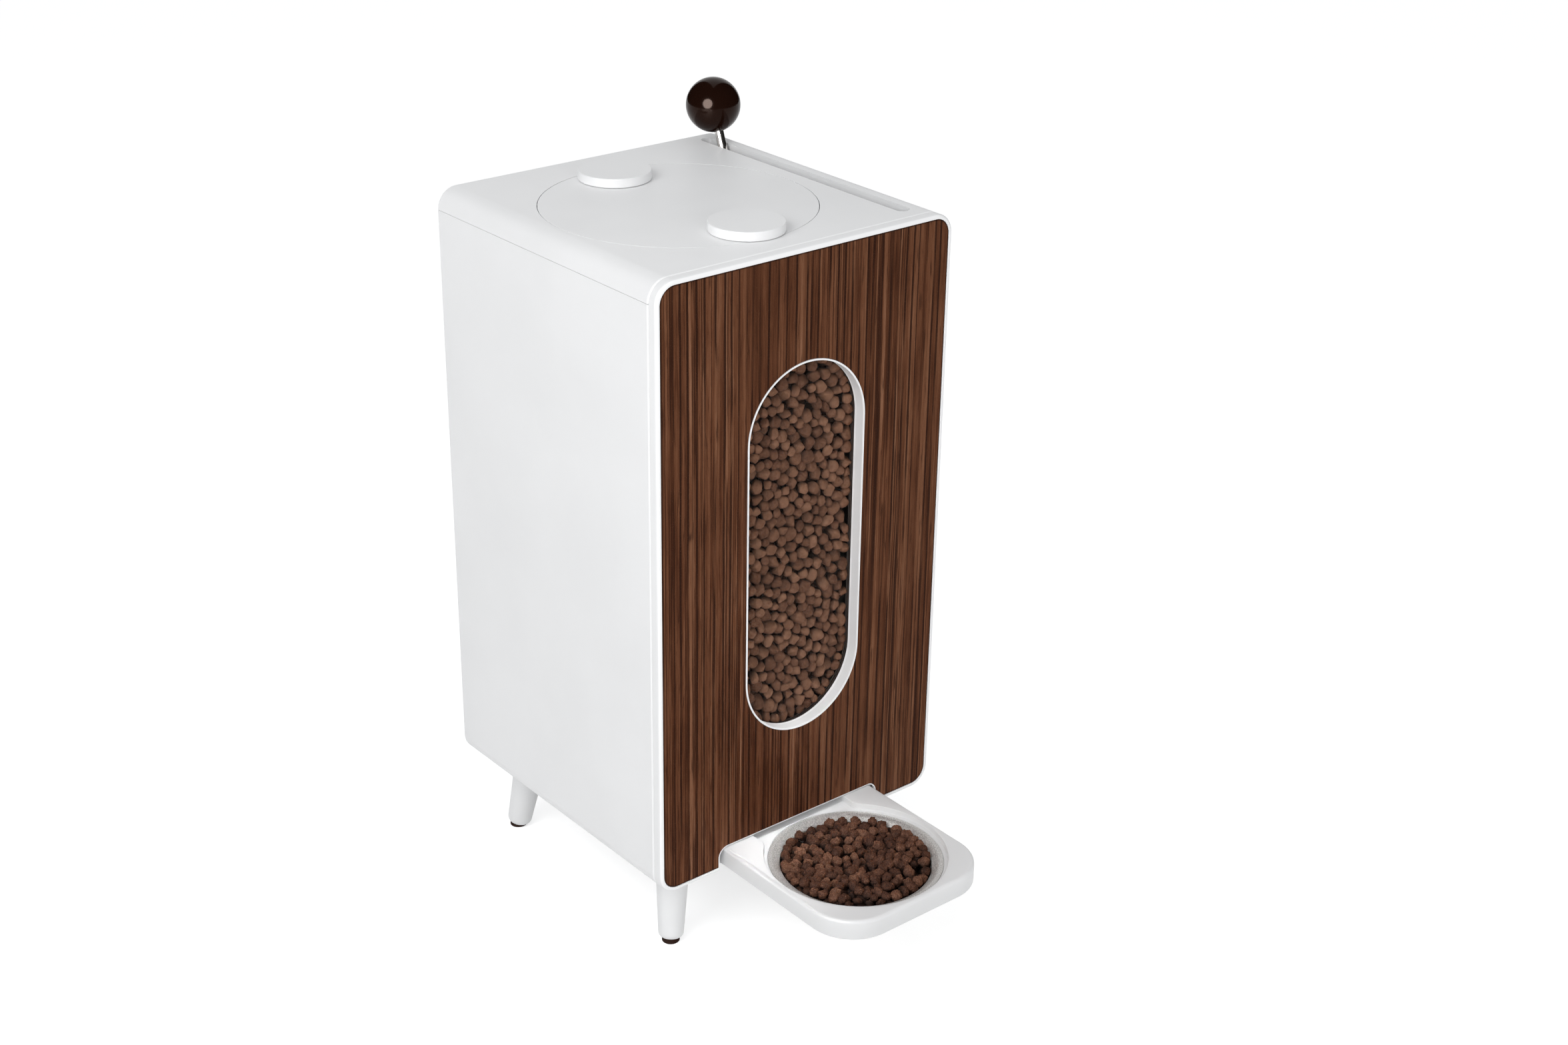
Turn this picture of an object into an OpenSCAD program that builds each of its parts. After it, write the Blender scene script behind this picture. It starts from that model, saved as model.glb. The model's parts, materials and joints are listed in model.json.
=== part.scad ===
// Dog food storage station: a tall kibble cabinet on splayed legs. A lever in the top turns a metering
// drum under the hopper, and the bowl tray slides in to be filled and out to serve.
// Millimetres, +Z up. The origin lies on the floor, midway between the front of the tray and the back.
// Most modules work in cabinet coordinates: Y = 0 at the front face and Z = 0 at the underside.

/* [Cabinet] */
// Width of the cabinet
cabinet_w = 330; // [322:1:345]
// Depth of the cabinet, front face to back
cabinet_d = 330; // [326:1:350]
// Height of the cabinet without its legs
cabinet_h = 590; // [570:1:620]
// Radius of the long edges that run front to back
corner_r = 20; // [16:1:22]
// Wall of the moulded shells
shell_t = 3; // [2.6:0.1:3.4]
// Open seam between the top cover and the side shell
seam_gap = 0.4; // [0.2:0.1:0.8]
// How far the rear panel sits inside the back edge
rear_recess = 2.5; // [2.2:0.1:3]

/* [Front] */
// Depth of the front bezel
bezel_d = 10; // [9:0.5:12]
// Radius of the bezel's front edge
bezel_round = 3; // [2:0.5:4]
// White rim left round the walnut panel
rim_w = 4.2; // [4:0.1:5]
// Thickness of the walnut panel
panel_t = 6; // [4:0.5:6.5]
// How far the walnut face sits behind the rim
panel_recess = 0.6; // [0.4:0.1:1]
// Width of the window
window_w = 134; // [124:1:136]
// Height of the window
window_h = 365; // [340:1:380]
// Height of the window's lower end above the underside
window_z = 121.5; // [120:0.5:130]
// White lip of the window frame
lip_w = 1.6; // [1.2:0.1:2.4]
// Depth of the window reveal
reveal_d = 12.5; // [12:0.5:15]
// Thickness of the clear pane
pane_t = 3; // [2:0.5:4]
// Width of the tray notch in the front
notch_w = 193; // [190:1:200]
// Height of the tray notch above the underside
notch_h = 24.2; // [23.8:0.1:28]
// Corner radius of the tray notch
notch_r = 10; // [6:1:12]
// White lip round the tray notch
notch_lip = 0.8; // [0.6:0.1:1.6]

/* [Legs] */
// Height of the underside above the floor
leg_h = 82; // [70:1:95]
// Leg axis in from the side, measured at the underside
leg_inset_x = 49; // [47:1:52]
// Leg axis in from the front and the back, measured at the underside
leg_inset_y = 47; // [44:1:52]
// How far each leg leans outward, along X and along Y, on its way to the floor
leg_spread = 11.5; // [6:0.5:14]
// Leg diameter at the underside
leg_top_d = 33; // [28:1:36]
// Leg diameter at the foot
leg_foot_d = 24.5; // [22:0.5:27]
// Foot pad diameter
pad_d = 17; // [14:0.5:20]
// Foot pad height
pad_h = 6; // [4:0.5:8]

/* [Lid] */
// Gap from the cabinet's left side to the lid's edge
lid_side_gap = 22.6; // [22:0.1:24]
// Gap from the lid's edge to the lever slot
lid_slot_gap = 16.4; // [15:0.1:18]
// Thickness of the lid plate
lid_t = 5; // [4:0.5:6]
// Fine ring gap round the lid
lid_gap = 0.6; // [0.4:0.1:1]
// Width of the ledge that carries the lid
lid_ledge = 8; // [7:0.5:10]
// Diameter of the two lid knobs
knob_d = 68.5; // [60:0.5:74]
// Thickness of a knob's disc
knob_t = 8.5; // [8:0.5:13]
// Height of the neck under a knob's disc
knob_neck_h = 3.5; // [2.5:0.5:5]
// Diameter of that neck
knob_neck_d = 60; // [40:1:62]
// Knob centre in from the lid's edge
knob_inset = 28.5; // [27:0.1:34]

/* [Lever and metering] */
// Lever's plane in from the cabinet's right side
lever_inset = 33; // [32:0.5:34]
// Lever length, pivot to ball centre
lever_l = 390; // [380:1:400]
// Backward lean of the lever at rest, and forward lean when pulled
lever_tilt = 21; // [18:0.5:22]
// Diameter of the lever rod
rod_d = 8.8; // [7:0.1:10]
// Diameter of the ball knob
ball_d = 53; // [48:1:54]
// Width of the lever slot
slot_w = 14; // [13:0.5:15]
// Front end of the lever slot
slot_front = 25; // [22:1:28]
// Gap from the slot's rear end to the cabinet's back
slot_back = 11; // [10:0.5:16]
// Gear module
gear_m = 2.5; // [2.4:0.05:2.6]
// Teeth on the drum pinion
pinion_teeth = 30; // [28:1:32]
// Teeth that the lever sector would have as a full wheel
sector_full_teeth = 120; // [116:1:124]
// Thickness of the gears
gear_t = 8; // [6:0.5:9]
// Radius of the metering drum
drum_r = 38; // [34:0.5:39]
// Length of the metering drum
drum_l = 124; // [100:1:126]
// Height of the drum axis above the underside
drum_z = 88; // [87:0.5:92]
// Opening angle of the drum's pocket
pocket_angle = 90; // [70:1:100]
// Running gap between the drum and its housing
drum_gap = 1.5; // [1:0.1:2]
// Diameter of the drum shaft
shaft_d = 8; // [7:0.5:9]

/* [Tray and bowl] */
// Width of the tray
tray_w = 181; // [176:1:182]
// How far the tray stands out of the front
tray_reach = 172; // [168:1:180]
// Length of the tray left inside the cabinet
tray_tail = 118; // [110:1:122]
// Underside of the tray above the cabinet's underside
tray_z = 3.6; // [3.4:0.1:4]
// Height of the tray's wings
tray_t = 19.4; // [18:0.1:19.5]
// Corner radius at the tray's front
tray_corner_r = 45; // [35:1:50]
// Radius of the tray's top edge
tray_round = 3.5; // [2:0.5:4]
// Depth of the keyhole recess below the wings
recess_depth = 6; // [4:0.1:6.4]
// Width of the channel behind the bowl
channel_w = 112; // [100:1:120]
// Outer diameter of the bowl
bowl_d = 163; // [156:1:164]
// Depth of the bowl
bowl_depth = 24; // [20:0.5:25]
// Sheet thickness of the bowl
bowl_t = 1; // [0.8:0.1:1.2]
// How far the bowl lifts to come clear of the tray
bowl_lift = 26; // [22:0.5:26]

/* [Hidden] */
$fn = 96;
// Clearances
fit_gap = 0.25;
thread_gap = 0.1;
run_gap = 0.05;
slide_gap = 0.4;

// Cabinet frame
back_reach = max(cabinet_d, cabinet_d / 2 + lever_l * sin(lever_tilt) + ball_d / 2);
front_y = -(back_reach - tray_reach) / 2;
half_w = cabinet_w / 2;
inner_w = cabinet_w - 2 * shell_t;
seam_z = cabinet_h - corner_r;
mid_y = cabinet_d / 2;
rear_panel_t = 3;
rear_face_y = cabinet_d - rear_recess;
rear_inner_y = rear_face_y - rear_panel_t;
locate_t = 2;
locate_h = 6;

// Front and window
web_y = panel_recess + panel_t;
window_flange_w = 8;
pane_edge = 6;
gasket_t = 2;
gasket_w = 6;
pane_y = reveal_d;
gasket_y = pane_y + pane_t;
hopper_front = gasket_y + gasket_t;

// Tray runners
runner_gap = 1.5;
runner_w = 12;
runner_h = 17;
runner_x = tray_w / 2 + runner_gap;
runner_side = runner_x + runner_w;
side_gap = 1;

// Lever bay and lid: the bay stays outside the tray runner
plate_t = 3;
spring_room = 9;
lever_x_min = runner_side + side_gap + plate_t + spring_room + gear_t / 2;
lever_x = max(half_w - lever_inset, lever_x_min);
hopper_right = lever_x - gear_t / 2 - spring_room - plate_t;
plate_x = hopper_right;
sector_x = lever_x - gear_t / 2;
lid_left = -half_w + lid_side_gap;
lid_right = lever_x - slot_w / 2 - lid_slot_gap;
lid_r = (lid_right - lid_left) / 2;
lid_x = (lid_right + lid_left) / 2;
lid_y = mid_y - 1;
knob_y = lid_r - knob_inset;
dish_wall = 3;
dish_r = lid_r + lid_gap + dish_wall;
mouth_r = lid_r + lid_gap - lid_ledge;
dish_floor = cabinet_h - lid_t - dish_wall;
collar_h = 16;
collar_t = 2.5;
liner_t = 2;
liner_h = 16;
plug_r = mouth_r - 1.5;
plug_t = 3.5;
plug_h = 17;
seal_h = 6;

// Hopper
hopper_t = 2.5;
hopper_wall_y = hopper_front + hopper_t;
hopper_left = -half_w + shell_t + 3.5;
hopper_back = rear_inner_y - 16;
hopper_top = cabinet_h - shell_t - seam_gap;
funnel_top = 262;
bowl_y = -tray_reach + bowl_d / 2 + 9.5;
tray_travel = tray_reach + 5;
drum_y = bowl_y + tray_travel;
housing_r = drum_r + drum_gap;
housing_t = 2.5;
clip_h = 0.68 * drum_r;
hopper_floor = drum_z + clip_h;
floor_half_w = drum_l / 2 + 9.5;
floor_back = drum_y + housing_r - 3.5;
throat_half = clip_h + 3;

// Gear train: the lever pivot sits one centre distance from the drum axis
pinion_r = gear_m * pinion_teeth / 2;
sector_r = gear_m * sector_full_teeth / 2;
centre_distance = pinion_r + sector_r;
pivot_y = mid_y;
pivot_z = drum_z + sqrt(pow(centre_distance, 2) - pow(pivot_y - drum_y, 2));
mesh_angle = atan2(pivot_y - drum_y, pivot_z - drum_z);
gear_ratio = sector_full_teeth / pinion_teeth;
sector_pitch = 360 / sector_full_teeth;
sector_teeth = 2 * ceil((lever_tilt + 3) / sector_pitch) + 1;
backlash = 0.36;
root_fillet = 0.35;
pocket_lean = 90 - gear_ratio * lever_tilt;

// Pivot, spring and bushes
pin_r = 6;
pin_shoulder_r = 9;
pin_spigot_r = 5;
ring_t = 1;
socket_r = 8;
socket_l = 66;
rod_start = 20;
spring_wire = 1.6;
spring_r = 13;
spring_turns = 3;
spring_pitch = 2;
spring_leg = 26;
spring_post_r = 2.5;
bumper_r = 5;
bumper_at = 48;
bush_r = 7;
bush_flange_r = 10;
bush_flange_t = 2;
shaft_r = shaft_d / 2;
drive_pin_r = 1.5;
drive_pin_l = 18;

shaft_left = -plate_x - plate_t - bush_flange_t - 4;
shaft_right = sector_x + gear_t + 3;
ring_gap = 0.4;
pinion_hub_x = plate_x + plate_t + bush_flange_t + ring_gap;
pinion_pin_x = (pinion_hub_x + sector_x) / 2;
drum_pin_x = -drum_l / 2 + drive_pin_r + 0.1;
pin_end = sector_x + gear_t + 2.4;
pin_ring_x = sector_x + gear_t + 0.6;
spring_lug_y = -spring_r + spring_wire / 2 + 0.3 + spring_post_r;

// Stands and runners
stand_foot_w = 20;
stand_foot_t = 3;
stand_y0 = 76;
stand_y1 = 236;
stand_edge = 12;
stand_top = pivot_z + bumper_at + bumper_r + stand_edge;
stand_screw_in = 20;
plate_window_in = 50;
plate_window_drop = 30;
plate_window_h = 90;
screw_r = 2;
tab_w = 5.5;
tab_h = 5;
tab_l = 60;
tab_z = tray_z + 5.4;
runner_y0 = bezel_d + 14;
runner_stop_y = tray_tail + tray_travel + 0.6;
runner_y1 = runner_stop_y + 8;
peg_r = 2.5;
peg_in = 30;

// Tray and bowl
tray_top = tray_z + tray_t;
recess_z = tray_top - recess_depth;
recess_r = bowl_d / 2 + 4;
seat_drop = 1;
seat_w = 2.7;
flange_w = 9.8;
flange_drop = 4.5;
hang_r = bowl_d / 2 - flange_w;
bowl_corner_r = 12;
neck_r = 14;
deck_t = 3;
tray_wall = 2.6;
floor_cut_half = hang_r + 6;
floor_cut_r = 14;

// Legs
leg_tilt = atan(sqrt(2) * leg_spread / leg_h);
leg_axis_l = leg_h / cos(leg_tilt);
leg_plate_w = 36;
leg_plate_t = 2.5;
leg_plate_shift = 7;
leg_x = max(half_w - leg_inset_x, runner_side + side_gap + leg_plate_w / 2 - leg_plate_shift);
leg_y = [leg_inset_y, cabinet_d - leg_inset_y];
leg_round = 6;
stud_r = 4;
stud_in = 22;
stud_out = 9;
spigot_r = 3;
spigot_h = 8;

// Fasteners
rear_screw_r = 1.5;
rear_head_r = 3.2;
rear_head_t = 1.6;
boss_r = 4.5;
boss_l = 13;
boss_in = shell_t + 3.6;
boss_end = 80;
top_boss_x = 80;
side_boss_places = [
    for (s = [-1, 1], z = [boss_end, cabinet_h / 2, cabinet_h - boss_end])
    [s * (half_w - boss_in), z]];
top_boss_places = [for (s = [-1, 1]) [s * top_boss_x, cabinet_h - boss_in]];
stand_screw_y = [stand_y0 + stand_screw_in, stand_y1 - stand_screw_in];
housing_screw_r = 1.5;
knob_screw_r = 2.5;
knob_head_r = 5;
knob_head_t = 2.5;
knob_screw_end = 5;

white = [0.93, 0.93, 0.93];
steel = [0.75, 0.76, 0.78];
grey_plastic = [0.6, 0.61, 0.63];
dark = [0.14, 0.11, 0.1];

// Placing helpers

module in_cabinet() {
    translate([0, front_y, leg_h]) children();
}

// Extrudes an XZ outline from y0 to y1
module along_y(y0, y1) {
    translate([0, y1, 0]) rotate([90, 0, 0]) linear_extrude(y1 - y0) children();
}

// Extrudes a YZ outline from x0 to x1
module along_x(x0, x1) {
    translate([x0, 0, 0]) rotate([90, 0, 90]) linear_extrude(x1 - x0) children();
}

module rod_x(x0, x1, r) {
    translate([x0, 0, 0]) rotate([0, 90, 0]) cylinder(r = r, h = x1 - x0);
}

module rod_y(y0, y1, r) {
    translate([0, y0, 0]) rotate([-90, 0, 0]) cylinder(r = r, h = y1 - y0);
}

module at_pivot() {
    translate([0, pivot_y, pivot_z]) children();
}

// Lever coordinates: the rod runs up +Z, leaning back at rest
module on_lever() {
    at_pivot() rotate([-lever_tilt, 0, 0]) children();
}

module at_lid(z) {
    translate([lid_x, lid_y, z]) children();
}

module at_drum() {
    translate([0, drum_y, drum_z]) children();
}

// Leg coordinates: the leg hangs down -Z along its own leaning axis
module on_leg(side, end) {
    translate([side * leg_x, leg_y[end], 0])
        rotate([0, 0, atan2(end == 0 ? -1 : 1, side)]) rotate([0, -leg_tilt, 0]) children();
}

// Outlines

module rounded_rect(w, h, r) {
    translate([-w / 2, r]) square([w, h - 2 * r]);
    translate([-w / 2 + r, 0]) square([w - 2 * r, h]);
    for (x = [-1, 1], y = [r, h - r])
        translate([x * (w / 2 - r), y]) circle(r);
}

module stadium(w, h, z0) {
    translate([-w / 2, z0 + w / 2]) square([w, h - w]);
    for (z = [z0 + w / 2, z0 + h - w / 2])
        translate([0, z]) circle(w / 2);
}

module window_outline(grow) {
    stadium(window_w + 2 * grow, window_h + 2 * grow, window_z - grow);
}

// The notch is open below, so its outline runs past the underside
module notch_outline(grow) {
    w = notch_w + 2 * grow;
    h = notch_h + grow;
    r = notch_r + grow;
    translate([-w / 2, -1]) square([w, h - r + 1]);
    translate([-w / 2 + r, -1]) square([w - 2 * r, h + 1]);
    for (x = [-1, 1])
        translate([x * (w / 2 - r), h - r]) circle(r);
}

module body_outline(inset) {
    translate([0, inset]) rounded_rect(cabinet_w - 2 * inset, cabinet_h - 2 * inset, corner_r - inset);
}

module body_ring() {
    difference() {
        body_outline(0);
        body_outline(shell_t);
    }
}

// A slab with rounded corners and a rounded edge round its top face
module soft_slab(w, l, t, r_corner, r_edge) {
    module cross(width) {
        translate([-width / 2, 0]) square([width, t - r_edge]);
        translate([-width / 2 + r_edge, 0]) square([width - 2 * r_edge, t]);
        for (x = [-1, 1])
            translate([x * (width / 2 - r_edge), t - r_edge]) circle(r_edge, $fn = 48);
    }
    translate([0, l - r_corner, 0]) rotate([90, 0, 0]) linear_extrude(l - 2 * r_corner) cross(w);
    translate([-w / 2 + r_corner, l / 2, 0]) rotate([90, 0, 90]) linear_extrude(w - 2 * r_corner) cross(l);
    for (x = [-1, 1], y = [r_corner, l - r_corner])
        translate([x * (w / 2 - r_corner), y, 0]) rotate_extrude() {
            square([r_corner, t - r_edge]);
            square([r_corner - r_edge, t]);
            translate([r_corner - r_edge, t - r_edge]) circle(r_edge, $fn = 48);
        }
}

// Involute gears, drawn with a tooth centred on +Y of the outline

function involute(base_r, r) = sqrt(pow(r / base_r, 2) - 1) * 180 / PI - acos(base_r / r);

function flank(teeth, r) =
    let (pitch_r = gear_m * teeth / 2)
    let (base_r = pitch_r * cos(20))
    let (half_pitch = 90 / teeth - backlash / 4 / pitch_r * 180 / PI)
    half_pitch + involute(base_r, pitch_r) - involute(base_r, max(r, base_r));

function polar(r, a) = [r * sin(a), r * cos(a)];

function tooth(teeth, at) =
    let (pitch_r = gear_m * teeth / 2)
    let (root = pitch_r - 1.25 * gear_m)
    let (tip = pitch_r + gear_m)
    let (start = max(root + 0.3, pitch_r * cos(20)))
    let (radii = [for (i = [0 : 3]) start + (tip - start) * i / 3])
    let (foot = flank(teeth, start) + root_fillet * (180 / teeth - flank(teeth, start)))
    concat([polar(root, at - foot)],
        [for (r = radii) polar(r, at - flank(teeth, r))],
        [for (i = [3 : -1 : 0]) polar(radii[i], at + flank(teeth, radii[i]))],
        [polar(root, at + foot)]);

function gear_points(teeth) =
    [for (i = [0 : teeth - 1], p = tooth(teeth, i * 360 / teeth)) p];

function sector_points(teeth, count) =
    [for (i = [-(count - 1) / 2 : (count - 1) / 2], p = tooth(teeth, i * 360 / teeth)) p];

// Cabinet shells

module rear_bosses(places) {
    for (p = places)
        translate([p[0], 0, p[1]]) rod_y(rear_inner_y - boss_l, rear_inner_y, boss_r);
}

module rear_screw_holes(places, r, y0, y1) {
    for (p = places)
        translate([p[0], 0, p[1]]) rod_y(y0, y1, r);
}

module rear_pilot_holes(places) {
    rear_screw_holes(places, rear_screw_r + thread_gap, rear_inner_y - boss_l + 2, rear_inner_y + 1);
}

module leg_bolt_holes(r) {
    for (side = [-1, 1], end = [0, 1])
        on_leg(side, end) translate([0, 0, -stud_in]) cylinder(r = r, h = stud_in + stud_out + 4);
}

module stand_screw_places() {
    for (side = [-1, 1], y = stand_screw_y)
        translate([side * (plate_x + plate_t + stand_foot_w / 2), y, 0]) children();
}

module runner_peg_places(side) {
    for (y = [runner_y0 + peg_in, (runner_y0 + runner_y1) / 2, runner_y1 - peg_in])
        translate([side * (runner_x + runner_w / 2 + 1), y, 0]) children();
}

// The floor is open under the bowl's whole way, out to the front
module floor_cut_outline() {
    back = drum_y + floor_cut_half;
    inner = floor_cut_half - floor_cut_r;
    translate([-floor_cut_half, 0]) square([2 * floor_cut_half, back - floor_cut_r]);
    translate([-inner, 0]) square([2 * inner, back]);
    for (side = [-1, 1])
        translate([side * inner, back - floor_cut_r]) circle(floor_cut_r);
}

module side_shell() {
    color(white) in_cabinet() difference() {
        union() {
            intersection() {
                along_y(bezel_d, cabinet_d) body_ring();
                translate([-half_w, 0, 0]) cube([cabinet_w, cabinet_d, seam_z]);
            }
            intersection() {
                rear_bosses(side_boss_places);
                along_y(0, cabinet_d) body_outline(0);
            }
        }
        translate([0, 0, -1]) linear_extrude(shell_t + 2) floor_cut_outline();
        leg_bolt_holes(stud_r + fit_gap);
        stand_screw_places() translate([0, 0, -1]) cylinder(r = screw_r + thread_gap, h = shell_t + 2);
        for (side = [-1, 1])
            runner_peg_places(side) translate([0, 0, -1]) cylinder(r = peg_r + thread_gap, h = shell_t + 2);
        rear_pilot_holes(side_boss_places);
    }
}

module slot_outline(grow) {
    r = slot_w / 2 + grow;
    y0 = slot_front + slot_w / 2;
    y1 = cabinet_d - slot_back - slot_w / 2;
    translate([lever_x - r, y0]) square([2 * r, y1 - y0]);
    for (y = [y0, y1])
        translate([lever_x, y]) circle(r);
}

module top_cover() {
    color(white) in_cabinet() difference() {
        union() {
            intersection() {
                along_y(bezel_d, cabinet_d) body_ring();
                translate([-half_w, 0, seam_z + seam_gap]) cube([cabinet_w, cabinet_d, corner_r]);
            }
            // Locating lip inside the side shell
            for (s = [-1, 1])
                translate([s * (inner_w / 2 - fit_gap - locate_t / 2) - locate_t / 2, bezel_d + locate_h + 4,
                        seam_z - locate_h])
                    cube([locate_t, rear_inner_y - bezel_d - locate_h - 8, 2 * locate_h]);
            intersection() {
                rear_bosses(top_boss_places);
                along_y(0, cabinet_d) body_outline(0.5);
            }
        }
        at_lid(cabinet_h - shell_t - 1) cylinder(r = lid_r + lid_gap, h = shell_t + 2);
        translate([0, 0, cabinet_h - shell_t - 1]) linear_extrude(shell_t + 2) slot_outline(0);
        rear_pilot_holes(top_boss_places);
    }
}

// Dish and collar under the cover that carry the lid
module lid_ring() {
    color(white) in_cabinet() intersection() {
        difference() {
            union() {
                at_lid(dish_floor) cylinder(r = dish_r, h = cabinet_h - shell_t - dish_floor);
                at_lid(dish_floor - collar_h) cylinder(r = mouth_r + collar_t, h = collar_h + 1);
            }
            at_lid(cabinet_h - lid_t) cylinder(r = lid_r + lid_gap, h = lid_t);
            at_lid(dish_floor - collar_h - 1) cylinder(r = mouth_r, h = collar_h + dish_wall + lid_t);
        }
        along_y(0, cabinet_d) body_outline(shell_t);
    }
}

// Wall under the cover that screens the lever slot
module slot_liner() {
    color(white) in_cabinet() intersection() {
        translate([0, 0, cabinet_h - shell_t - liner_h]) linear_extrude(liner_h) difference() {
            slot_outline(liner_t);
            slot_outline(0);
        }
        along_y(0, cabinet_d) body_outline(shell_t);
    }
}

module rear_panel() {
    color(white) in_cabinet() difference() {
        along_y(rear_inner_y, rear_face_y) body_outline(shell_t + fit_gap);
        rear_screw_holes(concat(side_boss_places, top_boss_places), rear_screw_r + fit_gap,
            rear_inner_y - 1, rear_face_y + 1);
    }
}

module rear_panel_screws() {
    color(steel) in_cabinet()
        for (p = concat(side_boss_places, top_boss_places))
            translate([p[0], 0, p[1]]) {
                rod_y(rear_inner_y - boss_l + 4, rear_face_y + 0.1, rear_screw_r);
                rod_y(rear_face_y, rear_face_y + rear_head_t, rear_head_r);
            }
}

module front_bezel() {
    locate_out = shell_t + fit_gap;
    color(white) in_cabinet() difference() {
        union() {
            translate([0, bezel_d, 0]) rotate([90, 0, 0])
                soft_slab(cabinet_w, cabinet_h, bezel_d, corner_r, bezel_round);
            along_y(bezel_d - 0.5, bezel_d + locate_h) difference() {
                body_outline(locate_out);
                body_outline(locate_out + locate_t);
            }
        }
        along_y(-1, web_y) body_outline(rim_w);
        along_y(-1, bezel_d + 1) window_outline(fit_gap);
        along_y(-1, bezel_d + locate_h + 1) notch_outline(0);
        // The locating rib stops short of the tray runners
        translate([-runner_side, bezel_d, -1]) cube([2 * runner_side, locate_h + 1, notch_h]);
    }
}

// Thin white strip that edges the veneered board round the notch
module notch_trim() {
    color(white) in_cabinet() along_y(panel_recess, web_y) difference() {
        intersection() {
            notch_outline(notch_lip);
            translate([-half_w, rim_w]) square([cabinet_w, notch_h + notch_lip]);
        }
        notch_outline(0);
    }
}

module walnut_panel() {
    color([0.36, 0.23, 0.15]) in_cabinet() along_y(panel_recess, web_y) difference() {
        body_outline(rim_w + fit_gap);
        window_outline(fit_gap);
        notch_outline(notch_lip + fit_gap);
    }
}

module window_frame() {
    color(white) in_cabinet() difference() {
        union() {
            along_y(panel_recess - 0.3, reveal_d) window_outline(0);
            along_y(bezel_d, reveal_d) window_outline(window_flange_w);
        }
        along_y(-1, reveal_d + 1) window_outline(-lip_w);
    }
}

module window_pane() {
    color([0.85, 0.9, 0.92, 0.4]) in_cabinet() along_y(pane_y, gasket_y) window_outline(pane_edge);
}

module window_gasket() {
    color(dark) in_cabinet() along_y(gasket_y, hopper_front) difference() {
        window_outline(pane_edge);
        window_outline(pane_edge - gasket_w);
    }
}

// Hopper and metering

// A box whose floor narrows to the throat, with an upright front wall behind the window
module funnel(inset) {
    slice = 0.01;
    hull() {
        translate([hopper_left + inset, hopper_front + inset, funnel_top])
            cube([hopper_right - hopper_left - 2 * inset, hopper_back - hopper_front - 2 * inset, slice]);
        translate([-floor_half_w + inset, hopper_front + inset, hopper_floor + inset])
            cube([2 * (floor_half_w - inset), floor_back - hopper_front - 2 * inset, slice]);
    }
}

module hopper_bin(inset, top) {
    translate([hopper_left + inset, hopper_front + inset, funnel_top])
        cube([hopper_right - hopper_left - 2 * inset, hopper_back - hopper_front - 2 * inset,
            top - funnel_top]);
}

module throat_cut(z0, z1) {
    translate([-drum_l / 2 - 0.5, drum_y - throat_half, z0]) cube([drum_l + 1, 2 * throat_half, z1 - z0]);
}

module housing_screw_places() {
    for (x = [-1, 1], y = [-1, 1])
        translate([x * (floor_half_w - 3), drum_y + y * (floor_back - drum_y - 4.5), 0]) children();
}

// The whole hopper, which is moulded in three pieces
module hopper_shape() {
    difference() {
        intersection() {
            union() {
                funnel(0);
                hopper_bin(0, hopper_top);
            }
            // Clear of the top cover's rounded edge
            along_y(0, cabinet_d) body_outline(shell_t + seam_gap);
        }
        funnel(hopper_t);
        hopper_bin(hopper_t, hopper_top + 1);
        throat_cut(hopper_floor - 1, hopper_floor + hopper_t + 1);
        at_lid(dish_floor - slide_gap) cylinder(r = dish_r + slide_gap, h = cabinet_h);
        housing_screw_places() translate([0, 0, hopper_floor - 1])
            cylinder(r = housing_screw_r + thread_gap, h = 3);
    }
}

module hopper_zone(y0, y1, z0, z1) {
    translate([-half_w, y0, z0]) cube([cabinet_w, y1 - y0, z1 - z0]);
}

module hopper_front_wall() {
    color(grey_plastic) in_cabinet() difference() {
        intersection() {
            hopper_shape();
            hopper_zone(0, hopper_wall_y, 0, cabinet_h);
        }
        along_y(hopper_front - 1, hopper_wall_y + 1) window_outline(pane_edge - gasket_w);
    }
}

module hopper_walls() {
    color(grey_plastic) in_cabinet() intersection() {
        hopper_shape();
        hopper_zone(hopper_wall_y, cabinet_d, funnel_top, cabinet_h);
    }
}

module hopper_chute() {
    color(grey_plastic) in_cabinet() intersection() {
        hopper_shape();
        hopper_zone(hopper_wall_y, cabinet_d, 0, funnel_top);
    }
}

module drum_housing() {
    outer_r = housing_r + housing_t;
    half_l = drum_l / 2 + 0.5;
    end_x = half_l + housing_t;
    outlet_half = clip_h + 3;
    skirt_bottom = recess_z + bowl_lift + 4;
    color(grey_plastic) in_cabinet() difference() {
        union() {
            intersection() {
                at_drum() rod_x(-end_x, end_x, outer_r);
                translate([-end_x, drum_y - outer_r, drum_z - clip_h])
                    cube([2 * end_x, 2 * outer_r, 2 * clip_h]);
            }
            // Flange under the hopper floor
            translate([-floor_half_w, 2 * drum_y - floor_back, hopper_floor - housing_t])
                cube([2 * floor_half_w, 2 * (floor_back - drum_y), housing_t]);
            // Outlet skirt down towards the bowl
            translate([-end_x, drum_y - outlet_half - housing_t, skirt_bottom])
                cube([2 * end_x, 2 * (outlet_half + housing_t), drum_z - clip_h - skirt_bottom + 4]);
        }
        at_drum() rod_x(-half_l, half_l, housing_r);
        translate([-half_l, drum_y - outlet_half, skirt_bottom - 1])
            cube([2 * half_l, 2 * outlet_half, drum_z - clip_h - skirt_bottom + 1]);
        at_drum() rod_x(-end_x - 1, end_x + 1, shaft_r + 1);
        housing_screw_places() translate([0, 0, hopper_floor - housing_t - 1])
            cylinder(r = housing_screw_r + thread_gap, h = housing_t + 2);
    }
}

module housing_screws() {
    head_t = 2;
    color(steel) in_cabinet() housing_screw_places() {
        translate([0, 0, hopper_floor - housing_t - head_t]) cylinder(r = 2.8, h = head_t);
        translate([0, 0, hopper_floor - housing_t - 0.1])
            cylinder(r = housing_screw_r, h = housing_t + hopper_t - 0.6);
    }
}

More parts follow.
